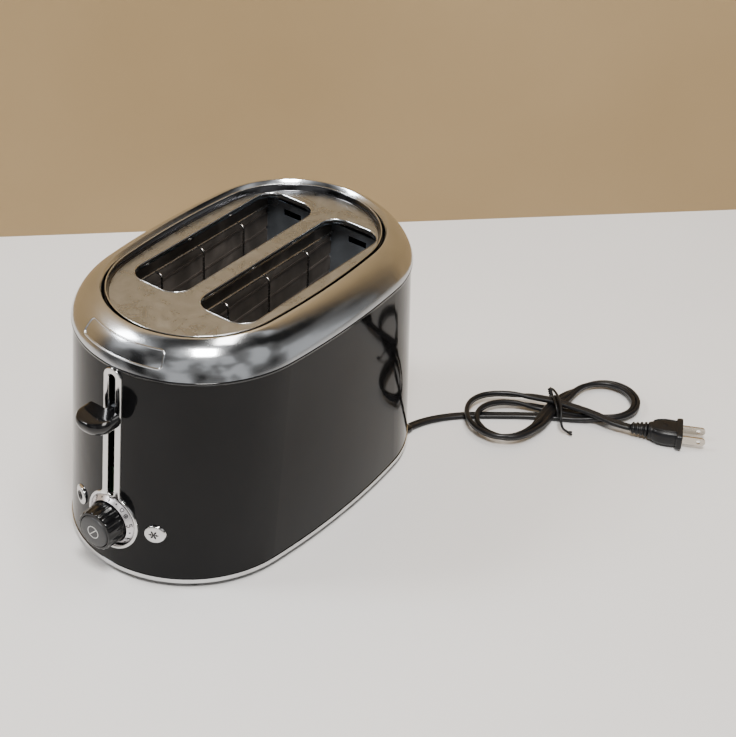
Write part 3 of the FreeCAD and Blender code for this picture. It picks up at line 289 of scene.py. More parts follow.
def noise(material, scale, detail=4.0, stretch=(1, 1, 1), distortion=0.0, roughness=0.5, output="Object"):
    """Noise over a set of texture coordinates, stretched where the grain runs."""
    tree = material.node_tree
    coords = tree.nodes.new("ShaderNodeTexCoord")
    mapping = tree.nodes.new("ShaderNodeMapping")
    mapping.inputs["Scale"].default_value = stretch
    texture = tree.nodes.new("ShaderNodeTexNoise")
    fill(texture, {"Scale": scale, "Detail": detail, "Distortion": distortion, "Roughness": roughness})
    tree.links.new(coords.outputs[output], mapping.inputs["Vector"])
    tree.links.new(mapping.outputs["Vector"], texture.inputs["Vector"])
    return texture.outputs["Fac"]


def ramp(material, source, stops):
    """Colours by value: stops are (position, colour)."""
    tree = material.node_tree
    item = tree.nodes.new("ShaderNodeValToRGB")
    elements = item.color_ramp.elements
    while len(elements) < len(stops):
        elements.new(0.5)
    for element, (position, colour) in zip(elements, stops):
        element.position = position
        element.color = (*colour, 1)
    tree.links.new(source, item.inputs["Fac"])
    return item.outputs["Color"]


def colour_from(material, source, stops):
    colour = ramp(material, source, stops)
    material.node_tree.links.new(colour, principled(material).inputs["Base Color"])


def roughness_from(material, source, low, high, from_low=0.3, from_high=0.7):
    """Roughness between low and high, over a range of the source's values."""
    tree = material.node_tree
    item = tree.nodes.new("ShaderNodeMapRange")
    fill(item, {"From Min": from_low, "From Max": from_high, "To Min": low, "To Max": high})
    tree.links.new(source, item.inputs["Value"])
    tree.links.new(item.outputs["Result"], principled(material).inputs["Roughness"])


def bump_from(material, source, strength, distance):
    tree = material.node_tree
    normal = principled(material).inputs["Normal"]
    bump = tree.nodes.new("ShaderNodeBump")
    fill(bump, {"Strength": strength, "Distance": distance})
    tree.links.new(source, bump.inputs["Height"])
    if normal.is_linked:
        tree.links.new(normal.links[0].from_socket, bump.inputs["Normal"])
    tree.links.new(bump.outputs["Normal"], normal)


def plain_finish(name, colour, metallic, roughness, grain=600, spread=0.15, bump=0.1, depth=0.0001,
                 stretch=(1, 1, 1), **more):
    """A finish with fine grain, uneven tone and uneven gloss, kept by its name."""
    material = shader(name, colour, metallic, roughness, **more)
    dark = tuple(c * (1 - spread) for c in colour)
    light = tuple(min(1, c * (1 + spread)) for c in colour)
    colour_from(material, noise(material, 45, detail=6), [(0.3, dark), (0.7, light)])
    fine = noise(material, grain, detail=3, stretch=stretch)
    roughness_from(material, fine, roughness * 0.8, min(1, roughness * 1.25))
    bump_from(material, fine, bump, depth)
    MATERIALS[name] = material


def painted_shell():
    """Black gloss enamel: faint orange peel, wipe marks and a little dust."""
    material = shader("painted_shell", (0.004, 0.004, 0.0045), 0.0, 0.1, specular=0.17)
    colour_from(material, noise(material, 14, detail=8),
                [(0.3, (0.0030, 0.0030, 0.0034)), (0.75, (0.0060, 0.0060, 0.0064))])
    roughness_from(material, noise(material, 9, detail=7, stretch=(1, 1, 0.35), distortion=1.5), 0.04, 0.10)
    bump_from(material, noise(material, 420, detail=2), 0.03, 0.0001)
    return material


def polished_steel():
    """Drawn stainless polished along its length, hazed by handling and streaked down its slope."""
    material = shader("polished_steel", (0.56, 0.54, 0.51), 1.0, 0.16, anisotropic=0.2)
    colour_from(material, noise(material, 10, detail=6),
                [(0.25, (0.50, 0.52, 0.54)), (0.75, (0.66, 0.68, 0.71))])
    roughness_from(material, noise(material, 22, detail=8, distortion=0.8), 0.10, 0.20)
    bump_from(material, noise(material, 60, detail=3, stretch=(1, 1, 0.12)), 0.12, 0.0006)
    bump_from(material, noise(material, 240, detail=4, stretch=(1, 1, 0.3)), 0.04, 0.0001)
    return material


def brushed_deck():
    """Fine brushed plate with water spots and greasy smudges."""
    material = shader("brushed_deck", (0.45, 0.42, 0.38), 1.0, 0.34)
    smudge = noise(material, 46, detail=12, distortion=1.2, roughness=0.7)
    colour_from(material, smudge,
                [(0.30, (0.34, 0.36, 0.38)), (0.52, (0.42, 0.44, 0.46)), (0.72, (0.50, 0.52, 0.54))])
    roughness_from(material, smudge, 0.24, 0.36, 0.35, 0.65)
    bump_from(material, noise(material, 260, detail=4, stretch=(1, 0.04, 1)), 0.12, 0.00012)
    bump_from(material, noise(material, 70, detail=6, distortion=1.0), 0.10, 0.0004)
    return material


def mica():
    """Flaky card: brown, mottled, with paler bands up it."""
    material = shader("mica", (0.12, 0.08, 0.055), 0.0, 0.5, coat=0.15, coat_roughness=0.35)
    colour_from(material, noise(material, 38, detail=9, stretch=(1, 1, 0.5), distortion=0.8),
                [(0.28, (0.030, 0.026, 0.022)), (0.5, (0.070, 0.060, 0.052)), (0.74, (0.16, 0.14, 0.125))])
    roughness_from(material, noise(material, 160, detail=5), 0.35, 0.62)
    bump_from(material, noise(material, 190, detail=6, stretch=(1, 1, 0.3)), 0.25, 0.0003)
    return material


def chamber_steel():
    """Zinc plated sheet, blue grey, with a tone uneven in patches."""
    material = shader("chamber_steel", (0.26, 0.29, 0.33), 0.85, 0.36)
    colour_from(material, noise(material, 24, detail=8, distortion=0.6),
                [(0.3, (0.26, 0.29, 0.33)), (0.55, (0.38, 0.42, 0.47)), (0.75, (0.50, 0.54, 0.59))])
    roughness_from(material, noise(material, 60, detail=5), 0.26, 0.48)
    bump_from(material, noise(material, 300, detail=3), 0.08, 0.0001)
    return material


MATERIALS = {make.__name__: make() for make in
             (painted_shell, polished_steel, brushed_deck, mica, chamber_steel)}
plain_finish("chrome_trim", (0.60, 0.60, 0.60), 1.0, 0.13, grain=500, spread=0.05, bump=0.03)
plain_finish("dial_silver", (0.64, 0.62, 0.64), 0.85, 0.34, grain=900, spread=0.05, bump=0.05)
plain_finish("black_plastic", (0.004, 0.004, 0.0045), 0.0, 0.09, grain=800, bump=0.015, specular=0.4)
plain_finish("rubber_foot", (0.018, 0.018, 0.018), 0.0, 0.75, grain=1500, bump=0.3)
plain_finish("pan_steel", (0.02, 0.02, 0.02), 0.4, 0.55, grain=700)
plain_finish("ribbon", (0.20, 0.17, 0.15), 0.7, 0.45, grain=500, spread=0.3, stretch=(1, 0.1, 1))
plain_finish("guard_wire", (0.42, 0.41, 0.40), 1.0, 0.25, grain=700, spread=0.2, bump=0.06)
plain_finish("nylon", (0.62, 0.59, 0.50), 0.0, 0.5, grain=900, spread=0.06)
plain_finish("core_iron", (0.22, 0.21, 0.21), 0.9, 0.5, grain=500, spread=0.25)
plain_finish("copper_coil", (0.55, 0.24, 0.10), 0.9, 0.35, grain=350, spread=0.2, stretch=(0.1, 0.1, 8),
             bump=0.5, depth=0.0004)
plain_finish("circuit_board", (0.05, 0.17, 0.07), 0.0, 0.4, grain=700, spread=0.25)
plain_finish("cord_jacket", (0.006, 0.006, 0.007), 0.0, 0.34, grain=1200, bump=0.1, specular=0.3)
plain_finish("tie_wire", (0.006, 0.006, 0.007), 0.0, 0.4, grain=1200, bump=0.1, specular=0.3)
plain_finish("nickel_blade", (0.52, 0.48, 0.42), 1.0, 0.24, grain=700, spread=0.08, stretch=(0.3, 0.3,
             1), bump=0.08)
plain_finish("deck_shadow", (0.085, 0.085, 0.09), 1.0, 0.16, grain=500, bump=0.03)
plain_finish("print_dark", (0.006, 0.006, 0.008), 0.0, 0.55, grain=900, specular=0.2)
plain_finish("print_light", (0.62, 0.62, 0.60), 0.0, 0.5, grain=900, spread=0.05)
plain_finish("cancel_face", (0.030, 0.031, 0.033), 0.0, 0.42, grain=1600, bump=0.15)

for part in frame["record"]["subparts"]:
    slots = NODES[part["node"]].data.materials
    slots.clear()
    slots.append(MATERIALS[part["material_slot"]])


# ---------------- camera, light and floor

def build_camera():
    """At the photograph's place and angle; lens from the picture's perspective."""
    data = bpy.data.cameras.new("camera")
    data.sensor_width = 36.0
    data.lens = 88.35
    data.clip_start, data.clip_end = 0.05, 20
    camera = new_object("camera", data)
    right = Vector((0.80374978, 0.59317245, 0.04618151))
    up = Vector((-0.36898273, 0.43606963, 0.82078927))
    back = right.cross(up)
    turn = Matrix((right, up, back)).transposed().to_4x4()
    camera.matrix_world = Matrix.Translation((0.62634, -0.75913, 0.77411)) @ turn
    bpy.context.scene.camera = camera


def area_light(name, place, target, size, power, colour=(1, 1, 1)):
    data = bpy.data.lights.new(name, "AREA")
    data.shape = "RECTANGLE"
    data.size, data.size_y = size
    data.energy = power
    data.color = colour
    item = new_object(name, data)
    item.location = place
    item.rotation_euler = (Vector(target) - Vector(place)).to_track_quat("-Z", "Y").to_euler()


def staged(name, corners, material):
    """A flat piece of the surroundings."""
    mesh = bpy.data.meshes.new(name)
    mesh.from_pydata(corners, [], [(0, 1, 2, 3)])
    mesh.materials.append(material)
    new_object(name, mesh)


def show_one_side(material):
    """The back of the wall is clear, so that the object can be seen from behind too."""
    tree = material.node_tree
    geometry = tree.nodes.new("ShaderNodeNewGeometry")
    clear = tree.nodes.new("ShaderNodeBsdfTransparent")
    mix = tree.nodes.new("ShaderNodeMixShader")
    tree.links.new(geometry.outputs["Backfacing"], mix.inputs["Fac"])
    tree.links.new(principled(material).outputs["BSDF"], mix.inputs[1])
    tree.links.new(clear.outputs["BSDF"], mix.inputs[2])
    tree.links.new(mix.outputs["Shader"], tree.nodes["Material Output"].inputs["Surface"])


WALL_LINE = ((-0.354, 0.117), (0.094, 0.567))    # two points where the wall meets the table


def build_studio():
    """A white table against a tan wall, a warm surround and three soft lights."""
    table = shader("table", (0.80, 0.79, 0.785), 0.0, 0.30, specular=0.35)
    colour_from(table, noise(table, 3, detail=8), [(0.3, (0.77, 0.76, 0.755)), (0.7, (0.82, 0.81, 0.805))])
    bump_from(table, noise(table, 250, detail=3), 0.02, 0.0002)
    paint = shader("wall_paint", (0.36, 0.26, 0.15), 0.0, 0.6)
    colour_from(paint, noise(paint, 4, detail=8), [(0.3, (0.33, 0.225, 0.105)), (0.7, (0.37, 0.255, 0.125))])
    bump_from(paint, noise(paint, 180, detail=4), 0.05, 0.0004)
    show_one_side(paint)
    reach = 4.0
    left, right = Vector(WALL_LINE[0]), Vector(WALL_LINE[1])
    along = (right - left).normalized() * reach
    forward = Vector((along.y, -along.x))
    left, right = left - along, right + along
    near_left, near_right = left + forward, right + forward
    staged("table", [(*near_left, 0), (*near_right, 0), (*right, 0), (*left, 0)], table)
    staged("wall", [(*left, 0), (*right, 0), (*right, 3.0), (*left, 3.0)], paint)
    world = bpy.data.worlds.new("surround")
    world.use_nodes = True
    background = world.node_tree.nodes["Background"]
    background.inputs["Strength"].default_value = 0.55
    room = noise(world, 2.6, detail=2, stretch=(1, 1, 0.5), roughness=0.4, output="Generated")
    shades = ramp(world, room, [(0.38, (0.03, 0.03, 0.03)), (0.47, (0.30, 0.29, 0.28)),
                                (0.55, (0.50, 0.49, 0.48)), (0.60, (1.2, 1.2, 1.2))])
    world.node_tree.links.new(shades, background.inputs["Color"])
    bpy.context.scene.world = world
    area_light("key", (0.75, -0.75, 2.0), (0.0, 0.05, 0.1), (0.5, 0.5), 56, (1.0, 0.98, 0.95))
    area_light("fill", (-1.2, -0.9, 1.6), (0.0, 0.0, 0.1), (0.6, 0.6), 32, (0.96, 0.98, 1.0))
    area_light("back", (0.25, 0.25, 1.8), (0.0, 0.0, 0.1), (0.9, 0.3), 14, (1.0, 0.96, 0.90))


build_camera()
build_studio()


# ---------------- shapes shared by the pieces

def turned(name, profile, finish, body="housing", count=96, depth=None, **more):
    """A shape turned about the dial's axis through (radius, y) points; depth(angle, radius) carves it."""
    rings = []
    for radius, y in profile:
        ring = []
        for angle in full_turn(count):
            r = radius - (depth(angle, radius) if depth else 0)
            ring.append(Vector((r * cos(angle), y, DIAL_Z + r * sin(angle))))
        rings.append(ring)
    return skin(name, rings, finish, body, **more)


def curved(points, steps=8):
    """A smooth line through points."""
    line = []
    ends = [points[0] * 2 - points[1]] + points + [points[-1] * 2 - points[-2]]
    for a, b, c, d in zip(ends, ends[1:], ends[2:], ends[3:]):
        for i in range(steps):
            t = i / steps
            line.append(0.5 * (2 * b + (c - a) * t + (2 * a - 5 * b + 4 * c - d) * t ** 2
                               + (3 * b - a - 3 * c + d) * t ** 3))
    return line + [points[-1]]


def tube(name, line, radius, finish, count=12, closed=False, **more):
    """A round wire along a line."""
    rings = []
    total = len(line)
    side = (line[1] - line[0]).orthogonal()
    for i, p in enumerate(line):
        after, before = (line[(i + 1) % total], line[i - 1]) if closed else \
            (line[min(i + 1, total - 1)], line[max(i - 1, 0)])
        along = (after - before).normalized()
        side = (side - along * side.dot(along)).normalized()
        other = along.cross(side)
        rings.append([p + (side * cos(t) + other * sin(t)) * radius
                      for t in (2 * pi * j / count for j in range(count))])
    return skin(name, rings, finish, caps=not closed, closed=closed, **more)


def printed(name, strokes, surface, width, finish, body="housing", lift=0.07 * MM):
    """Raised print: each stroke is a line of (u, v), and surface gives its point and normal."""
    verts, faces = [], []
    for stroke in strokes:
        start = len(verts)
        for i, (u, v) in enumerate(stroke):
            (pu, pv), (nu, nv) = stroke[max(i - 1, 0)], stroke[min(i + 1, len(stroke) - 1)]
            along = Vector((nu - pu, nv - pv)).normalized()
            across = Vector((-along.y, along.x)) * width / 2
            for sign, up in ((1, 1), (-1, 1), (-1, -1), (1, -1)):
                point, normal = surface(u + sign * across.x, v + sign * across.y)
                verts.append(point + normal * lift * up)
        for i in range(len(stroke) - 1):
            a, b = start + 4 * i, start + 4 * (i + 1)
            faces += [(a + j, a + (j + 1) % 4, b + (j + 1) % 4, b + j) for j in range(4)]
        end = start + 4 * (len(stroke) - 1)
        faces += [(start + 3, start + 2, start + 1, start), (end, end + 1, end + 2, end + 3)]
    return add_mesh(name, verts, faces, finish, body, smooth=False)


def ring_stroke(radius, count=40, centre=(0.0, 0.0)):
    points = circle(radius, centre, count)
    return points + points[:1]


# ---------------- shoulder and deck

def oval_band(name, section, height, finish, **more):
    """A closed band round the housing: section has its inset and its rise over height, in mm."""
    rings = [oval_ring(TOP_OVAL, inset * MM, height + rise * MM) for inset, rise in section]
    skin(name, rings, finish, closed=True, **more)


SHOULDER_FOOT = (-1.0 * MM, SEAM_TOP)          # inset and height of its lower edge
SHOULDER_CREST = (CREST_INSET, CREST_Z)
SHOULDER_HALF_TURN = radians(24)


def shoulder_arc(share):
    """Inset, height and outward direction on the shoulder's slope: share 0 at the seam, 1 at the crest."""
    foot, crest = Vector(SHOULDER_FOOT), Vector(SHOULDER_CREST)
    chord = crest - foot
    radius = chord.length / 2 / sin(SHOULDER_HALF_TURN)
    inward = Vector((chord.y, -chord.x)).normalized()
    centre = (foot + crest) / 2 + inward * radius * cos(SHOULDER_HALF_TURN)
    turn = -SHOULDER_HALF_TURN * (1 - 2 * share)
    middle = -inward
    out = Vector((middle.x * cos(turn) + middle.y * sin(turn),
                  middle.y * cos(turn) - middle.x * sin(turn)))
    place = centre + out * radius
    return place.x, place.y, out


def build_shoulder():
    (foot, _), (inset, top) = SHOULDER_FOOT, SHOULDER_CREST
    profile = [(foot + 0.9 * MM, SEAM_TOP), (foot + 0.3 * MM, SEAM_TOP + 0.05 * MM)]
    profile += [shoulder_arc(0.012 + 0.976 * i / 26)[:2] for i in range(27)]
    inner_edge = [(0.1, -0.05), (0.7, -0.12), (1.2, -0.6), (3.1, -3.2), (2.1, -3.2), (0.4, -1.4)]
    profile += [(inset + u * MM, top + w * MM) for u, w in inner_edge]
    for share in (0.9, 0.7, 0.5, 0.3, 0.12):
        u, w, _ = shoulder_arc(share)
        profile.append((u + 1.0 * MM, w - 0.6 * MM))
    skin("shoulder", [oval_ring(TOP_OVAL, u, w) for u, w in profile], "polished_steel", closed=True,
         replaced=("shoulder_ring",), crisp=28)
    gasket = [(-0.95, -0.5), (-0.95, 1.15), (2.2, 1.15), (2.2, -2.0), (1.3, -2.0), (1.3, 0.0), (0.0, 0.0),
              (0.0, -0.5)]
    oval_band("seam_gasket", gasket, SHELL_HIGH, "black_plastic")


def on_shoulder(u, v):
    """A point on the front of the shoulder: u across in metres, v the share of the slope."""
    inset, z, out = shoulder_arc(v)
    end = TOP_OVAL[2]
    angle = u / end
    across, along = sin(angle), -cos(angle)
    centre = TOP_OVAL[0] - end
    place = Vector(((end - inset) * across, -centre + (end - inset) * along + SHIFT, z))
    return place, Vector((-out.x * across, -out.x * along, out.y)).normalized()


def build_cartouche():
    """A blank raised frame on the front of the shoulder."""
    half, slope = 33 * MM, 27.6 * MM
    outline = rounded_box(-half, half, 0.24 * slope, 0.66 * slope, 3.0 * MM)
    points = []
    for (u, w), (next_u, next_w) in zip(outline, outline[1:] + outline[:1]):
        steps = max(1, int(abs(next_u - u) / (2 * MM)))
        points += [on_shoulder(u + (next_u - u) * i / steps, (w + (next_w - w) * i / steps) / slope)[0]
                   for i in range(steps)]
    tube("cartouche", points, 0.65 * MM, "polished_steel", closed=True)


def build_deck():
    """The sunk plate, a rolled lip round each slot, and the dark wall and rim round the plate."""
    inset, roll, plate = 22.9 * MM, 1.0 * MM, 0.9 * MM
    outline = [(x, y + SHIFT) for x, y in (oval_point(TOP_OVAL, a, inset) for a in oval_angles(TOP_OVAL))]
    mouths = [rounded_box(low * MM, high * MM, SLOT_FRONT, SLOT_REAR, SLOT_CORNER, per_corner=12)
              for low, high in SLOTS]
    place = Matrix.Translation((0, 0, DECK_Z - plate))
    solid_plate("deck_plate", [outline] + [moved_in(mouth, -roll) for mouth in mouths], plate, place,
                "brushed_deck", replaced=("top_deck",))
    lip = [(-1.0, 0.0), (-0.9, 0.3), (-0.45, 0.1), (-0.1, -0.5), (0.0, -1.3), (0.0, -3.4), (-0.8, -3.4),
           (-0.8, -1.5), (-1.0, -0.9)]
    for side, mouth in zip(("left", "right"), mouths):
        rings = [[Vector((x, y, DECK_Z + z * MM)) for x, y in moved_in(mouth, shift * MM)]
                 for shift, z in lip]
        skin("slot_lip_" + side, rings, "polished_steel", closed=True)
    wall = [(23.0, 0.0), (22.7, 0.25), (22.5, 0.8), (21.7, 3.7), (21.3, 4.2), (20.9, 4.4), (20.5, 4.15),
            (20.7, 3.6), (21.8, 0.2), (22.2, -0.6), (23.0, -0.9)]
    oval_band("deck_wall", wall, DECK_Z, "deck_shadow", crisp=40)
    rim = [(20.9 + 0.45 * cos(t), 4.3 + 0.4 * sin(t))
           for t in full_turn(10)]
    oval_band("deck_rim", rim, DECK_Z, "polished_steel")
    # A black band in the gap between the shoulder's lip and the deck wall: painted shade for the gap, not a
    # gasket.
    gap = [(19.3, 0.6), (19.3, 1.6), (21.4, 1.6), (21.4, 0.6)]
    oval_band("rim_gap_shade", gap, DECK_Z, "black_plastic")


# ---------------- control end

BEZEL_HALF, BEZEL_PROUD = 7.0 * MM, 1.5 * MM
BEZEL_TOP = LEVER_SLOT[1] + BEZEL_HALF - LEVER_SLOT[2]
BEZEL_FILLET = 4.0 * MM


def bezel_outline(shift):
    """Strip and dial ring as one outline in (x, z), moved inward by shift, with a fillet between them."""
    half, ring, fillet = BEZEL_HALF - shift, DIAL_RADIUS - shift, BEZEL_FILLET + shift
    lift = sqrt((ring + fillet) ** 2 - (half + fillet) ** 2)
    turn = atan2(lift, half + fillet)
    points = [polar(half, t, (0.0, BEZEL_TOP - BEZEL_HALF)) for t in angles(0, pi, 20)]
    left = [polar(fillet, t, (-half - fillet, DIAL_Z + lift)) for t in angles(0, -turn, 6)]
    round_part = [polar(ring, t, (0.0, DIAL_Z)) for t in angles(pi - turn, pi + 2 * turn, 64)[1:-1]]
    right = [(-x, z) for x, z in reversed(left)]
    return points + left + round_part + right


def build_bezel():
    """Strip and dial ring on the shell, open at the lever's slot and at the dial, and the slot's bead."""
    back, corner = -0.8 * MM, 0.9 * MM
    outline_steps = [(0.0, back), (0.0, corner), (0.15 * MM, 1.25 * MM), (0.45 * MM, 1.45 * MM),
                     (corner, BEZEL_PROUD)]
    verts = [on_front(x, z, proud) for shift, proud in outline_steps for x, z in bezel_outline(shift)]
    faces = ring_faces(len(outline_steps), len(bezel_outline(0.0)))

    def add(points, more_faces):
        faces.extend(tuple(i + len(verts) for i in face) for face in more_faces)
        verts.extend(points)

    slot = capsule(*LEVER_SLOT)
    hole = circle(18.2 * MM, (0.0, DIAL_Z), 72)
    face_slot, face_hole = moved_in(slot, -0.8 * MM), moved_in(hole, -0.6 * MM)
    points, front_faces = filled([bezel_outline(corner), face_slot, face_hole])
    add([on_front(p.x, p.y, BEZEL_PROUD) for p in points], front_faces)
    for inner, outer in ((slot, face_slot), (hole, face_hole)):
        edge = ((outer, BEZEL_PROUD), (moved_in(inner, -0.2 * MM), 1.3 * MM), (inner, corner), (inner, back))
        add([on_front(x, z, proud) for loop, proud in edge for x, z in loop], ring_faces(4, len(inner)))
    points, back_faces = filled([bezel_outline(0.0), slot, hole])
    add([on_front(p.x, p.y, back) for p in points], back_faces)
    bezel = add_mesh("bezel", verts, faces, "chrome_trim", replaced=("control_bezel",))
    face_outward(bezel.data, join=0.005 * MM)
    crease(bezel, 50)
    radius, rise = 1.5 * MM, 1.1 * MM
    bead = on_front(0, LEVER_SLOT[0] - 0.3 * MM, BEZEL_PROUD)
    rings = [[bead + Vector((radius * cos(t) * cos(a), -rise * sin(t),
                             radius * cos(t) * sin(a)))
              for a in full_turn(24)] for t in (-0.3, 0.0, 0.35, 0.7, 1.05, 1.35)]
    skin("slot_bead", rings, "chrome_trim", caps=True)


SCALE_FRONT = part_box("dial_scale")[0][1]
SCALE_BACK = SCALE_FRONT + 3.6 * MM
SCALE_INNER, SCALE_OUTER = 14.75 * MM, 18.05 * MM
DIGITS = {
    1: [[(-0.4, 0.7), (0.1, 1.2), (0.1, -1.2)]],
    2: [[(-0.7, 0.6), (-0.4, 1.1), (0.2, 1.2), (0.7, 0.8), (0.55, 0.1), (-0.7, -1.2), (0.75, -1.2)]],
    3: [[(-0.6, 0.9), (0.0, 1.2), (0.6, 0.9), (0.55, 0.35), (0.0, 0.1), (0.6, -0.15), (0.7, -0.7),
         (0.1, -1.2), (-0.7, -0.9)]],
    4: [[(0.4, -1.2), (0.4, 1.2), (-0.8, -0.4), (0.9, -0.4)]],
    5: [[(0.7, 1.2), (-0.5, 1.2), (-0.6, 0.2), (0.2, 0.35), (0.7, -0.1), (0.6, -0.9), (0.0, -1.2),
         (-0.7, -0.9)]],
    6: [[(0.5, 1.2), (-0.3, 0.6), (-0.7, -0.3), (-0.5, -1.0), (0.0, -1.2), (0.6, -0.9), (0.6, -0.2),
         (0.1, 0.15), (-0.6, -0.3)]],
    7: [[(-0.7, 1.2), (0.7, 1.2), (-0.1, -1.2)]],
}
DIGIT_PLACES = {1: 222, 2: 178, 3: 134, 4: 92, 5: 12, 6: -28, 7: -62}   # degrees round the dial
DOT_PLACES = (200, 156, 113, 70, -8, -45)
FLUTES = 18


def on_scale(degrees):
    """The scale's cone about one angle: u to the right seen from its middle, v outward."""
    wide, deep = SCALE_OUTER - SCALE_INNER - 0.5 * MM, SCALE_BACK - SCALE_FRONT - 0.4 * MM
    out, back = wide / hypot(wide, deep), deep / hypot(wide, deep)
    middle = SCALE_INNER + 0.3 * MM + wide / 2

    def surface(u, v):
        radius = middle + v * out
        angle = radians(degrees) - u / middle
        radial = Vector((cos(angle), 0, sin(angle)))
        place = radial * radius
        return (Vector((place.x, SCALE_FRONT + 0.1 * MM + deep / 2 + v * back, DIAL_Z + place.z)),
                (radial * back - Vector((0, out, 0))).normalized())

    return surface


def build_scale():
    """The cone round the knob, with its digits, dots, slice of bread and ring."""
    front, back, inner, outer = SCALE_FRONT, SCALE_BACK, SCALE_INNER, SCALE_OUTER
    profile = [(outer, back), (outer - 0.2 * MM, back - 0.3 * MM), (inner + 0.3 * MM, front + 0.1 * MM),
               (inner, front + 0.3 * MM), (inner, front + 3 * MM), (outer, back + 3 * MM)]
    turned("scale_ring", profile, "dial_silver", closed=True, replaced=("dial_scale",), crisp=30)
    half = [(-0.9, -0.9), (-0.9, 0.2), (-1.2, 0.7), (-0.8, 1.2)]
    bread = half + [(-u, v) for u, v in reversed(half)] + half[:1]
    marks = [("scale_digit_%d" % digit, [[(u * MM * 1.3, v * MM * 1.4) for u, v in stroke]
                                         for stroke in DIGITS[digit]], degrees, 0.7 * MM)
             for digit, degrees in DIGIT_PLACES.items()]
    marks += [("scale_dot_%d" % i, [ring_stroke(0.3 * MM, 12)], degrees, 0.6 * MM)
              for i, degrees in enumerate(DOT_PLACES)]
    marks += [("scale_slice", [[(u * MM, v * MM) for u, v in bread]], 52, 0.5 * MM),
              ("scale_round", [ring_stroke(1.15 * MM, 20), ring_stroke(0.4 * MM, 12)], 36, 0.5 * MM)]
    for name, strokes, degrees, width in marks:
        printed(name, strokes, on_scale(degrees), width, "print_dark")


def build_knob():
    """The fluted knob with its well and shaft, and the cancel button in the well."""
    knob, well, front = 14.3 * MM, 11.1 * MM, KNOB_FRONT

    def flute(angle, radius):
        if radius < knob - 1.2 * MM:
            return 0
        return 0.42 * MM * (1 - cos(FLUTES * angle)) / 2

    back = -128.5 * MM + SHIFT
    profile = [(5.2 * MM, back), (knob, back), (knob, back - 1.2 * MM), (knob - 0.25 * MM, back - 10 * MM),
               (knob - 0.6 * MM, front + 1.4 * MM), (knob - 0.9 * MM, front + 0.6 * MM),
               (knob - 1.5 * MM, front + 0.12 * MM), (knob - 2.1 * MM, front), (well + 0.4 * MM, front),
               (well, front + 0.4 * MM), (well, front + 8 * MM), (5.2 * MM, front + 8 * MM)]
    turned("dial_knob", profile, "black_plastic", "dial", count=FLUTES * 12, closed=True,
           depth=flute, replaced=("browning_knob",), crisp=42)
    inner, outer, inner_end = 3.35 * MM, 5.1 * MM, -109.6 * MM + SHIFT
    shaft = [(inner, back), (outer, back), (outer, inner_end), (inner, inner_end)]
    turned("dial_shaft", shaft, "nylon", "dial", count=32, closed=True)
    face = CANCEL_FRONT
    cap = [(3.0 * MM, -115.0 * MM + SHIFT), (3.0 * MM, front + 4 * MM), (10.8 * MM, front + 4 * MM),
           (10.8 * MM, face + 0.9 * MM), (10.5 * MM, face + 0.45 * MM), (9.9 * MM, face + 0.2 * MM),
           (7.0 * MM, face + 0.06 * MM), (3.5 * MM, face)]
    turned("cancel_cap", cap, "cancel_face", "cancel", count=64, caps=True,
           replaced=("cancel_button",), crisp=40)

    def on_cancel(u, v):
        return Vector((u, face + 0.04 * MM, DIAL_Z + v)), Vector((0, -1, 0))

    bar = 4.0 * MM * sqrt(0.5)
    printed("cancel_icon", [ring_stroke(4.2 * MM), [(-bar, -bar), (bar, bar)]], on_cancel, 0.55 * MM,
            "print_light", "cancel")


def build_buttons():
    """Domed caps that follow the housing's front, each on a stem and with its icon."""
    dome = [(3.0, -8.0), (6.3, -8.0), (6.3, 0.9), (6.1, 1.25), (5.7, 1.5), (4.6, 1.68), (3.0, 1.8),
            (1.2, 1.85)]
    flake = []
    for angle in full_turn(6):
        fork = polar(1.4 * MM, angle)
        flake.append([polar(0.2 * MM, angle), polar(3.0 * MM, angle)])
        flake += [[fork, polar(0.9 * MM, angle + turn, fork)] for turn in (0.6, -0.6)]
    rounds = [ring_stroke(2.7 * MM), ring_stroke(1.7 * MM), ring_stroke(0.7 * MM, 20)]
    for side, body, icon in ((-1, "bagel", rounds), (1, "frozen", flake)):
        centre = (side * BUTTON_X, BUTTON_Z)
        rings = [[on_front(x, z, proud * MM) for x, z in circle(radius * MM, centre)]
                 for radius, proud in dome]
        skin(body + "_cap", rings, "chrome_trim", body, caps=True, replaced=(body + "_button",),
             crisp=50)
        stem = [[Vector((x, y * MM + SHIFT, z)) for x, z in circle(3 * MM, centre, 20)]
                for y in (-120.0, -115.0)]
        skin(body + "_stem", stem, "black_plastic", body, caps=True)

        def on_cap(u, v, side=side):
            proud = (1.88 - 0.004 * (u * u + v * v) / MM ** 2) * MM
            normal = Vector((side * 0.38, -0.92, 0)).normalized()
            return on_front(side * BUTTON_X + u, BUTTON_Z + v, proud), normal

        printed(body + "_icon", icon, on_cap, 0.68 * MM, "print_dark", body, lift=0.12 * MM)


def tongue(inset, z):
    """The paddle's outline seen from above, its sides and tip moved inward."""
    half, tip, corner = 13.0 * MM - inset, LEVER_TIP + inset, 11.0 * MM - min(inset, 6 * MM) * 0.6
    points = [Vector((half, LEVER_BACK, z)), Vector((half, tip + corner, z))]
    points += [Vector((half - corner + corner * cos(t), tip + corner - corner * sin(t), z))
               for t in angles(0, pi / 2, 12)[1:]]
    points += [Vector((-half + corner - corner * sin(t), tip + corner - corner * cos(t), z))
               for t in angles(0, pi / 2, 12, last=False)]
    points += [Vector((-half, tip + corner, z)), Vector((-half, LEVER_BACK, z))]
    return points


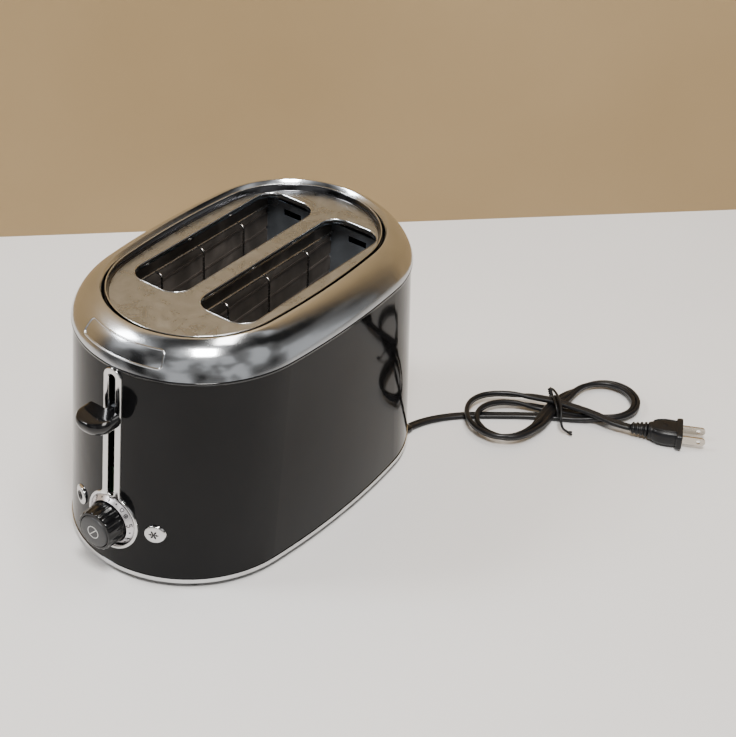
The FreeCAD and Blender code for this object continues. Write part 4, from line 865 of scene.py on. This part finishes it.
def build_lever():
    """The paddle, and the neck that joins it to the carriage through the slot."""
    levels = [(3.0, 7.0), (2.2, 6.85), (0.9, 6.0), (0.25, 4.9), (0.0, 3.4), (0.35, 1.4), (1.3, -0.8),
              (2.9, -2.9), (5.0, -4.5), (7.4, -5.4)]
    skin("paddle", [tongue(i * MM, LEVER_Z + z * MM) for i, z in levels], "black_plastic", "carriage",
         caps=True, replaced=("lever_knob",), crisp=24)
    half, rise = 2.1 * MM, 5.1 * MM
    outline = rounded_box(-half, half, LEVER_Z - rise, LEVER_Z + rise, 0.6 * MM, per_corner=3)
    rings = [[Vector((x, LEVER_BACK + y * MM, z)) for x, z in outline] for y in (-1.5, 6.0)]
    skin("paddle_neck", rings, "black_plastic", "carriage", caps=True, crisp=50)


# ---------------- plug, tie and strain relief

PLUG_TURN = radians(27.0)
PLUG_FACE = Vector((219.5 * MM, 224.5 * MM + SHIFT, 7.4 * MM))


def at_plug(x, y, z):
    """A point in the plug's own directions, in mm: x the way the blades point."""
    c, s = cos(PLUG_TURN), sin(PLUG_TURN)
    return PLUG_FACE + Vector((x * c - y * s, x * s + y * c, z)) * MM


def rounded_section(half_width, half_height, power, count):
    """(across, up) points of a section between an ellipse and a rectangle."""
    points = []
    for t in full_turn(count):
        c, s = cos(t), sin(t)
        points.append((half_width * copysign(abs(c) ** power, c),
                       half_height * copysign(abs(s) ** power, s)))
    return points


def loaf(x, half_width, half_height, power=3.4):
    """A rounded rectangle across the plug; a higher power makes it squarer."""
    return [at_plug(x, y, z) for y, z in rounded_section(half_width, half_height, 2 / power, 40)]


def build_plug():
    """Moulding, face plate, two ridges, an arrow, a ribbed sleeve and two blades."""
    jacket = "cord_jacket"
    sections = [(-24.8, 4.6, 4.4, 2.2), (-24.4, 5.9, 5.2, 2.4), (-22.6, 6.6, 5.6, 2.6),
                (-21.8, 6.5, 5.5, 2.8), (-20.9, 7.6, 5.9, 3.0), (-18.0, 9.2, 6.3, 3.2),
                (-14.0, 10.0, 6.6, 3.4), (-9.5, 10.2, 6.6, 3.6), (-5.6, 10.0, 6.4, 3.8),
                (-4.2, 10.0, 6.2, 3.8)]
    skin("plug_moulding", [loaf(*s) for s in sections], jacket, caps=True,
         replaced=("plug_body",), crisp=38)
    flange = [(-4.4, 11.6, 6.1), (-3.8, 12.3, 6.5), (-0.9, 12.5, 6.6), (-0.2, 12.1, 6.3), (0.0, 11.5, 5.9)]
    skin("plug_flange", [loaf(*s, 6) for s in flange], jacket, caps=True, crisp=32)
    ridge = [(-21.0, 4.6, 5.4), (-18.0, 6.0, 5.95), (-13.0, 7.0, 6.15), (-8.0, 7.1, 6.15), (-4.2, 6.9, 6.0)]
    for side in (-1, 1):
        line = [at_plug(x, side * y, z) for x, y, z in ridge]
        tube("plug_ridge_%d" % (side + 1), curved(line, 4), 0.45 * MM, jacket)
    arrow = [at_plug(x, y, 6.45) for x, y in ((-14.5, -2.6), (-10.5, 0.0), (-14.5, 2.6))]
    tube("plug_arrow", arrow, 0.4 * MM, jacket, count=8)
    core = [(-36.6, 3.4, 2.6), (-36.3, 3.7, 3.0), (-30.0, 4.0, 3.7), (-24.0, 4.3, 4.2)]
    skin("sleeve_core", [loaf(*s, 2.3) for s in core], jacket, caps=True, replaced=("plug_sleeve",))
    rib = [(0.0, -0.7), (0.25, -0.15), (0.5, 0.0), (1.5, 0.1), (1.8, -0.1), (2.0, -0.7)]
    for i in range(4):
        x, half_width, half_height = -36.1 + 2.95 * i, 4.4 + 0.38 * i, 3.8 + 0.38 * i
        rings = [loaf(x + along, half_width + out, half_height + out, 2.4) for along, out in rib]
        skin("sleeve_rib_%d" % i, rings, jacket, caps=True, crisp=50)
    back, straight, tip, half, sheet = -3.9, 13.6, 2.9, 3.1, 1.4
    outline = [(back, -half), (straight, -half)]
    outline += [(straight + tip * sin(t), -half * cos(t)) for t in angles(0, pi, 14)[1:-1]]
    outline += [(straight, half), (back, half)]
    loops = [[(x * MM, z * MM) for x, z in outline], circle(1.6 * MM, (11.6 * MM, 0.0), 24)]
    turn = Matrix.Rotation(PLUG_TURN, 4, "Z") @ Matrix.Rotation(pi / 2, 4, "X")
    for number, side in ((1, -1), (2, 1)):
        place = Matrix.Translation(at_plug(0, side * 6.35 + sheet / 2, 0)) @ turn
        solid_plate("blade_%d" % number, loops, sheet * MM, place, "nickel_blade",
                    replaced=("plug_blade_%d" % number,))


def build_tie():
    """A plastic covered wire round the waist, twisted at one side, its forked end over the bundle."""
    wire = "tie_wire"
    pieces = []
    c, s = cos(BUNDLE_TURN), sin(BUNDLE_TURN)

    def place(along, across, z):
        x, y = TIE.x + along * c - across * s, TIE.y + along * s + across * c
        return Vector((x * MM, y * MM + SHIFT, z * MM))

    for i, along in enumerate((-1.0, 1.4)):
        loop = [place(along + 0.5 * sin(2 * t), 0.8 + 9.6 * cos(t), 7.2 + 6.2 * sin(t))
                for t in full_turn(40)]
        pieces.append(tube("tie_loop_%d" % i, loop, 0.9 * MM, wire, closed=True,
                           replaced=("twist_tie",) if i == 0 else ()))
    for phase in (0, pi):
        twist = []
        for j in range(12):
            along, up = polar(0.9, phase + 1.25 * j)
            twist.append(place(0.2 + along, 9.8 + 0.55 * j, 9.0 + 0.35 * j + up))
        pieces.append(tube("tie_twist_%d" % int(phase), curved(twist, 4), 0.85 * MM, wire, count=10))
    free = [(0.2, 15.6, 12.6), (1.0, 11.0, 15.2), (1.5, 3.0, 15.9), (0.8, -6.0, 15.6), (-0.5, -13.5, 13.4),
            (-2.0, -19.0, 8.5), (-1.0, -22.5, 4.4), (2.0, -24.6, 2.6)]
    pieces.append(tube("tie_end", curved([place(*point) for point in free]), 0.9 * MM, wire))
    for i, (along, across) in enumerate(((5.2, -24.4), (4.2, -27.6))):
        fork = [place(1.8, -24.5, 2.6), place(along, across, 1.9)]
        pieces.append(tube("tie_fork_%d" % i, fork, 0.8 * MM, wire))
    return pieces


def build_strain_relief(line):
    """A ribbed sleeve that tapers onto the lead where it leaves the base."""
    travelled, rings = 0.0, []
    length = 24 * MM
    for i, p in enumerate(line[:-1]):
        along = (line[i + 1] - p).normalized()
        share = travelled / length
        if share > 1:
            break
        side = along.cross(Vector((0, 0, 1))).normalized()
        up = side.cross(along).normalized()
        rib = 0.25 if int(travelled / (2.4 * MM)) % 2 else 0.0
        width, height = (5.3 - 1.5 * share - rib) * MM, (3.3 - 1.1 * share - rib) * MM
        height = min(height, p.z - 0.05 * MM)
        rings.append([p + side * u + up * v for u, v in rounded_section(width, height, 0.75, 28)])
        travelled += (line[i + 1] - p).length
    return skin("strain_relief", rings, "black_plastic", caps=True)


# ---------------- carriage spring

def build_spring():
    """A coil of wire that stands for the carriage spring, on a mesh of its own."""
    low, high, turns, per_turn = 10.4 * MM, 99.6 * MM, 9, 20
    centre = (0.0, -78.0 * MM + SHIFT)
    steps = turns * per_turn
    line = [Vector((*polar(4.2 * MM, angle, centre), low + (high - low) * i / steps))
            for i, angle in enumerate(angles(0, 2 * pi * turns, steps))]
    spring = tube("lift_spring", line, 0.7 * MM, "guard_wire", count=8, replaced=("carriage_spring",))
    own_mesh(spring)


build_shoulder()
build_cartouche()
build_spring()
build_deck()
build_bezel()
build_scale()
build_knob()
build_buttons()
build_lever()
build_plug()


# ---------------- the mains lead

CORD_WIDTH, CORD_THICKNESS = 6.4 * MM, 3.5 * MM
TIE = Vector((131.5, 194.0))
BUNDLE_TURN = radians(49.5)
# from the clip under the base to the bundle, on the table: x, y, z in mm about the housing's middle
LEAD = [(57.5, 88.0, 3.6), (59.0, 104.5, 3.2), (62.5, 121.0, 2.3), (70.8, 136.3, 1.8), (82.3, 149.6, 1.8),
        (98.5, 163.0, 1.8), (116.5, 177.5, 2.0)]
# from the bundle to the plug's sleeve
TAIL = [(159.0, 203.0, 9.4), (174.3, 203.3, 7.8), (187.0, 207.9, 7.4)]
# each lobe of the figure of eight: reach along the bundle, half width, sideways swing of its tip, height
LOBES = [(66.0, 24.5, 8.0, 4.6), (-63.0, 24.0, -14.0, 7.4), (62.0, 23.0, 7.0, 5.2), (-68.0, 29.0, -6.0, 7.9)]
# each pass under the tie: sideways place, height
PASSES = [(-6.0, 2.8), (0.0, 6.2), (2.6, 2.8), (6.0, 6.4), (4.6, 9.8)]
POINTS_PER_LOBE = 15


def bundle_point(along, across, z):
    """A point of the figure of eight, from distances along and across the bundle in mm."""
    c, s = cos(BUNDLE_TURN), sin(BUNDLE_TURN)
    return (TIE.x + along * c - across * s, TIE.y + along * s + across * c, z)


def figure_of_eight():
    """The lobes' control points: out on one side, round the tip and back on the other."""
    points = []
    for lobe, (reach, half, lean, height) in enumerate(LOBES):
        (start_v, start_z), (stop_v, stop_z) = PASSES[lobe], PASSES[lobe + 1]
        for i in range(POINTS_PER_LOBE):
            turn = pi * i / POINTS_PER_LOBE
            bend = 1 + cos(turn) ** 2
            out = sin(turn) / bend
            share = i / POINTS_PER_LOBE
            near = abs(cos(turn)) ** 5
            tie_v = start_v + (stop_v - start_v) * share
            tie_z = start_z if share < 0.5 else stop_z
            swing = lean / reach
            narrowing = 0.55 + 0.45 * sin(turn)
            along, across = reach * out, -half * sqrt(8) * out * cos(turn) * narrowing
            along, across = (along * cos(swing) - across * sin(swing),
                             across * cos(swing) + along * sin(swing))
            points.append(bundle_point(along, across + tie_v * near, height + (tie_z - height) * near))
    points.append(bundle_point(0, *PASSES[-1]))
    return points


def spline_points(points):
    """The smooth line that the lead follows: read from its own spline."""
    curve = bpy.data.curves.new("lead_route", "CURVE")
    curve.dimensions = "3D"
    spline = curve.splines.new("NURBS")
    spline.points.add(len(points) - 1)
    for point, (x, y, z) in zip(spline.points, points):
        point.co = (x * MM, y * MM + SHIFT, z * MM, 1)
    spline.order_u = 3
    spline.use_endpoint_u = True
    spline.resolution_u = 10
    guide = new_object("lead_route", curve)
    mesh = bpy.data.meshes.new_from_object(guide)
    line = [vertex.co.copy() for vertex in mesh.vertices]
    bpy.data.objects.remove(guide)
    return line


def twin_section(width, thickness, per_side=9):
    """Two round cores side by side with a groove between them: (across, up) pairs."""
    core, reach = thickness / 2, radians(138)
    centre = (width - thickness) / 2
    points = []
    for side in (1, -1):
        for i in range(per_side):
            angle = -reach + 2 * reach * i / (per_side - 1)
            points.append((side * (centre + core * cos(angle)), side * core * sin(angle)))
    return points


def wide_axes(line):
    """Which way the flat lead's width lies: level on the table, stood up and leaning round the loops."""
    tie = Vector((TIE.x * MM, TIE.y * MM + SHIFT, 0))
    axis = Vector((cos(BUNDLE_TURN), sin(BUNDLE_TURN), 0))
    lean = Vector((0.26, -0.50, 0.83)).normalized()
    near = [i for i, p in enumerate(line) if (Vector((p.x, p.y, 0)) - tie).length < 11 * MM]
    axes = []
    for i, p in enumerate(line):
        tangent = (line[min(i + 1, len(line) - 1)] - line[max(i - 1, 0)]).normalized()
        level = tangent.cross(Vector((0, 0, 1))).normalized()
        level *= copysign(1, level.dot(lean))
        stood = (lean - tangent * lean.dot(tangent)).normalized()
        away = abs((p - tie).dot(axis)) if near[0] < i < near[-1] else 0
        share = min(1, max(0, (away - 9 * MM) / (20 * MM)))
        share = share * share * (3 - 2 * share)
        mixed = (level * (1 - share) + stood * share)
        mixed = (mixed - tangent * mixed.dot(tangent)).normalized()
        axes.append((mixed, mixed.cross(tangent).normalized()))
    return axes


def build_lead():
    line = spline_points(LEAD + figure_of_eight() + TAIL)
    section = twin_section(CORD_WIDTH, CORD_THICKNESS)
    rings = [[p + wide * u + thin * v for u, v in section] for p, (wide, thin) in zip(line, wide_axes(line))]
    lead = skin("mains_lead", rings, "cord_jacket", caps=True,
                replaced=("power_cord", "power_cord_tail", "cord_bundle"))
    length = sum((b - a).length for a, b in zip(line, line[1:]))
    lowest = min(v.co.z for v in lead.data.vertices)
    print("lead length %.4f lowest %.5f" % (length, lowest))
    return lead, line


lead, lead_line = build_lead()
relief = build_strain_relief(lead_line)
tie = build_tie()
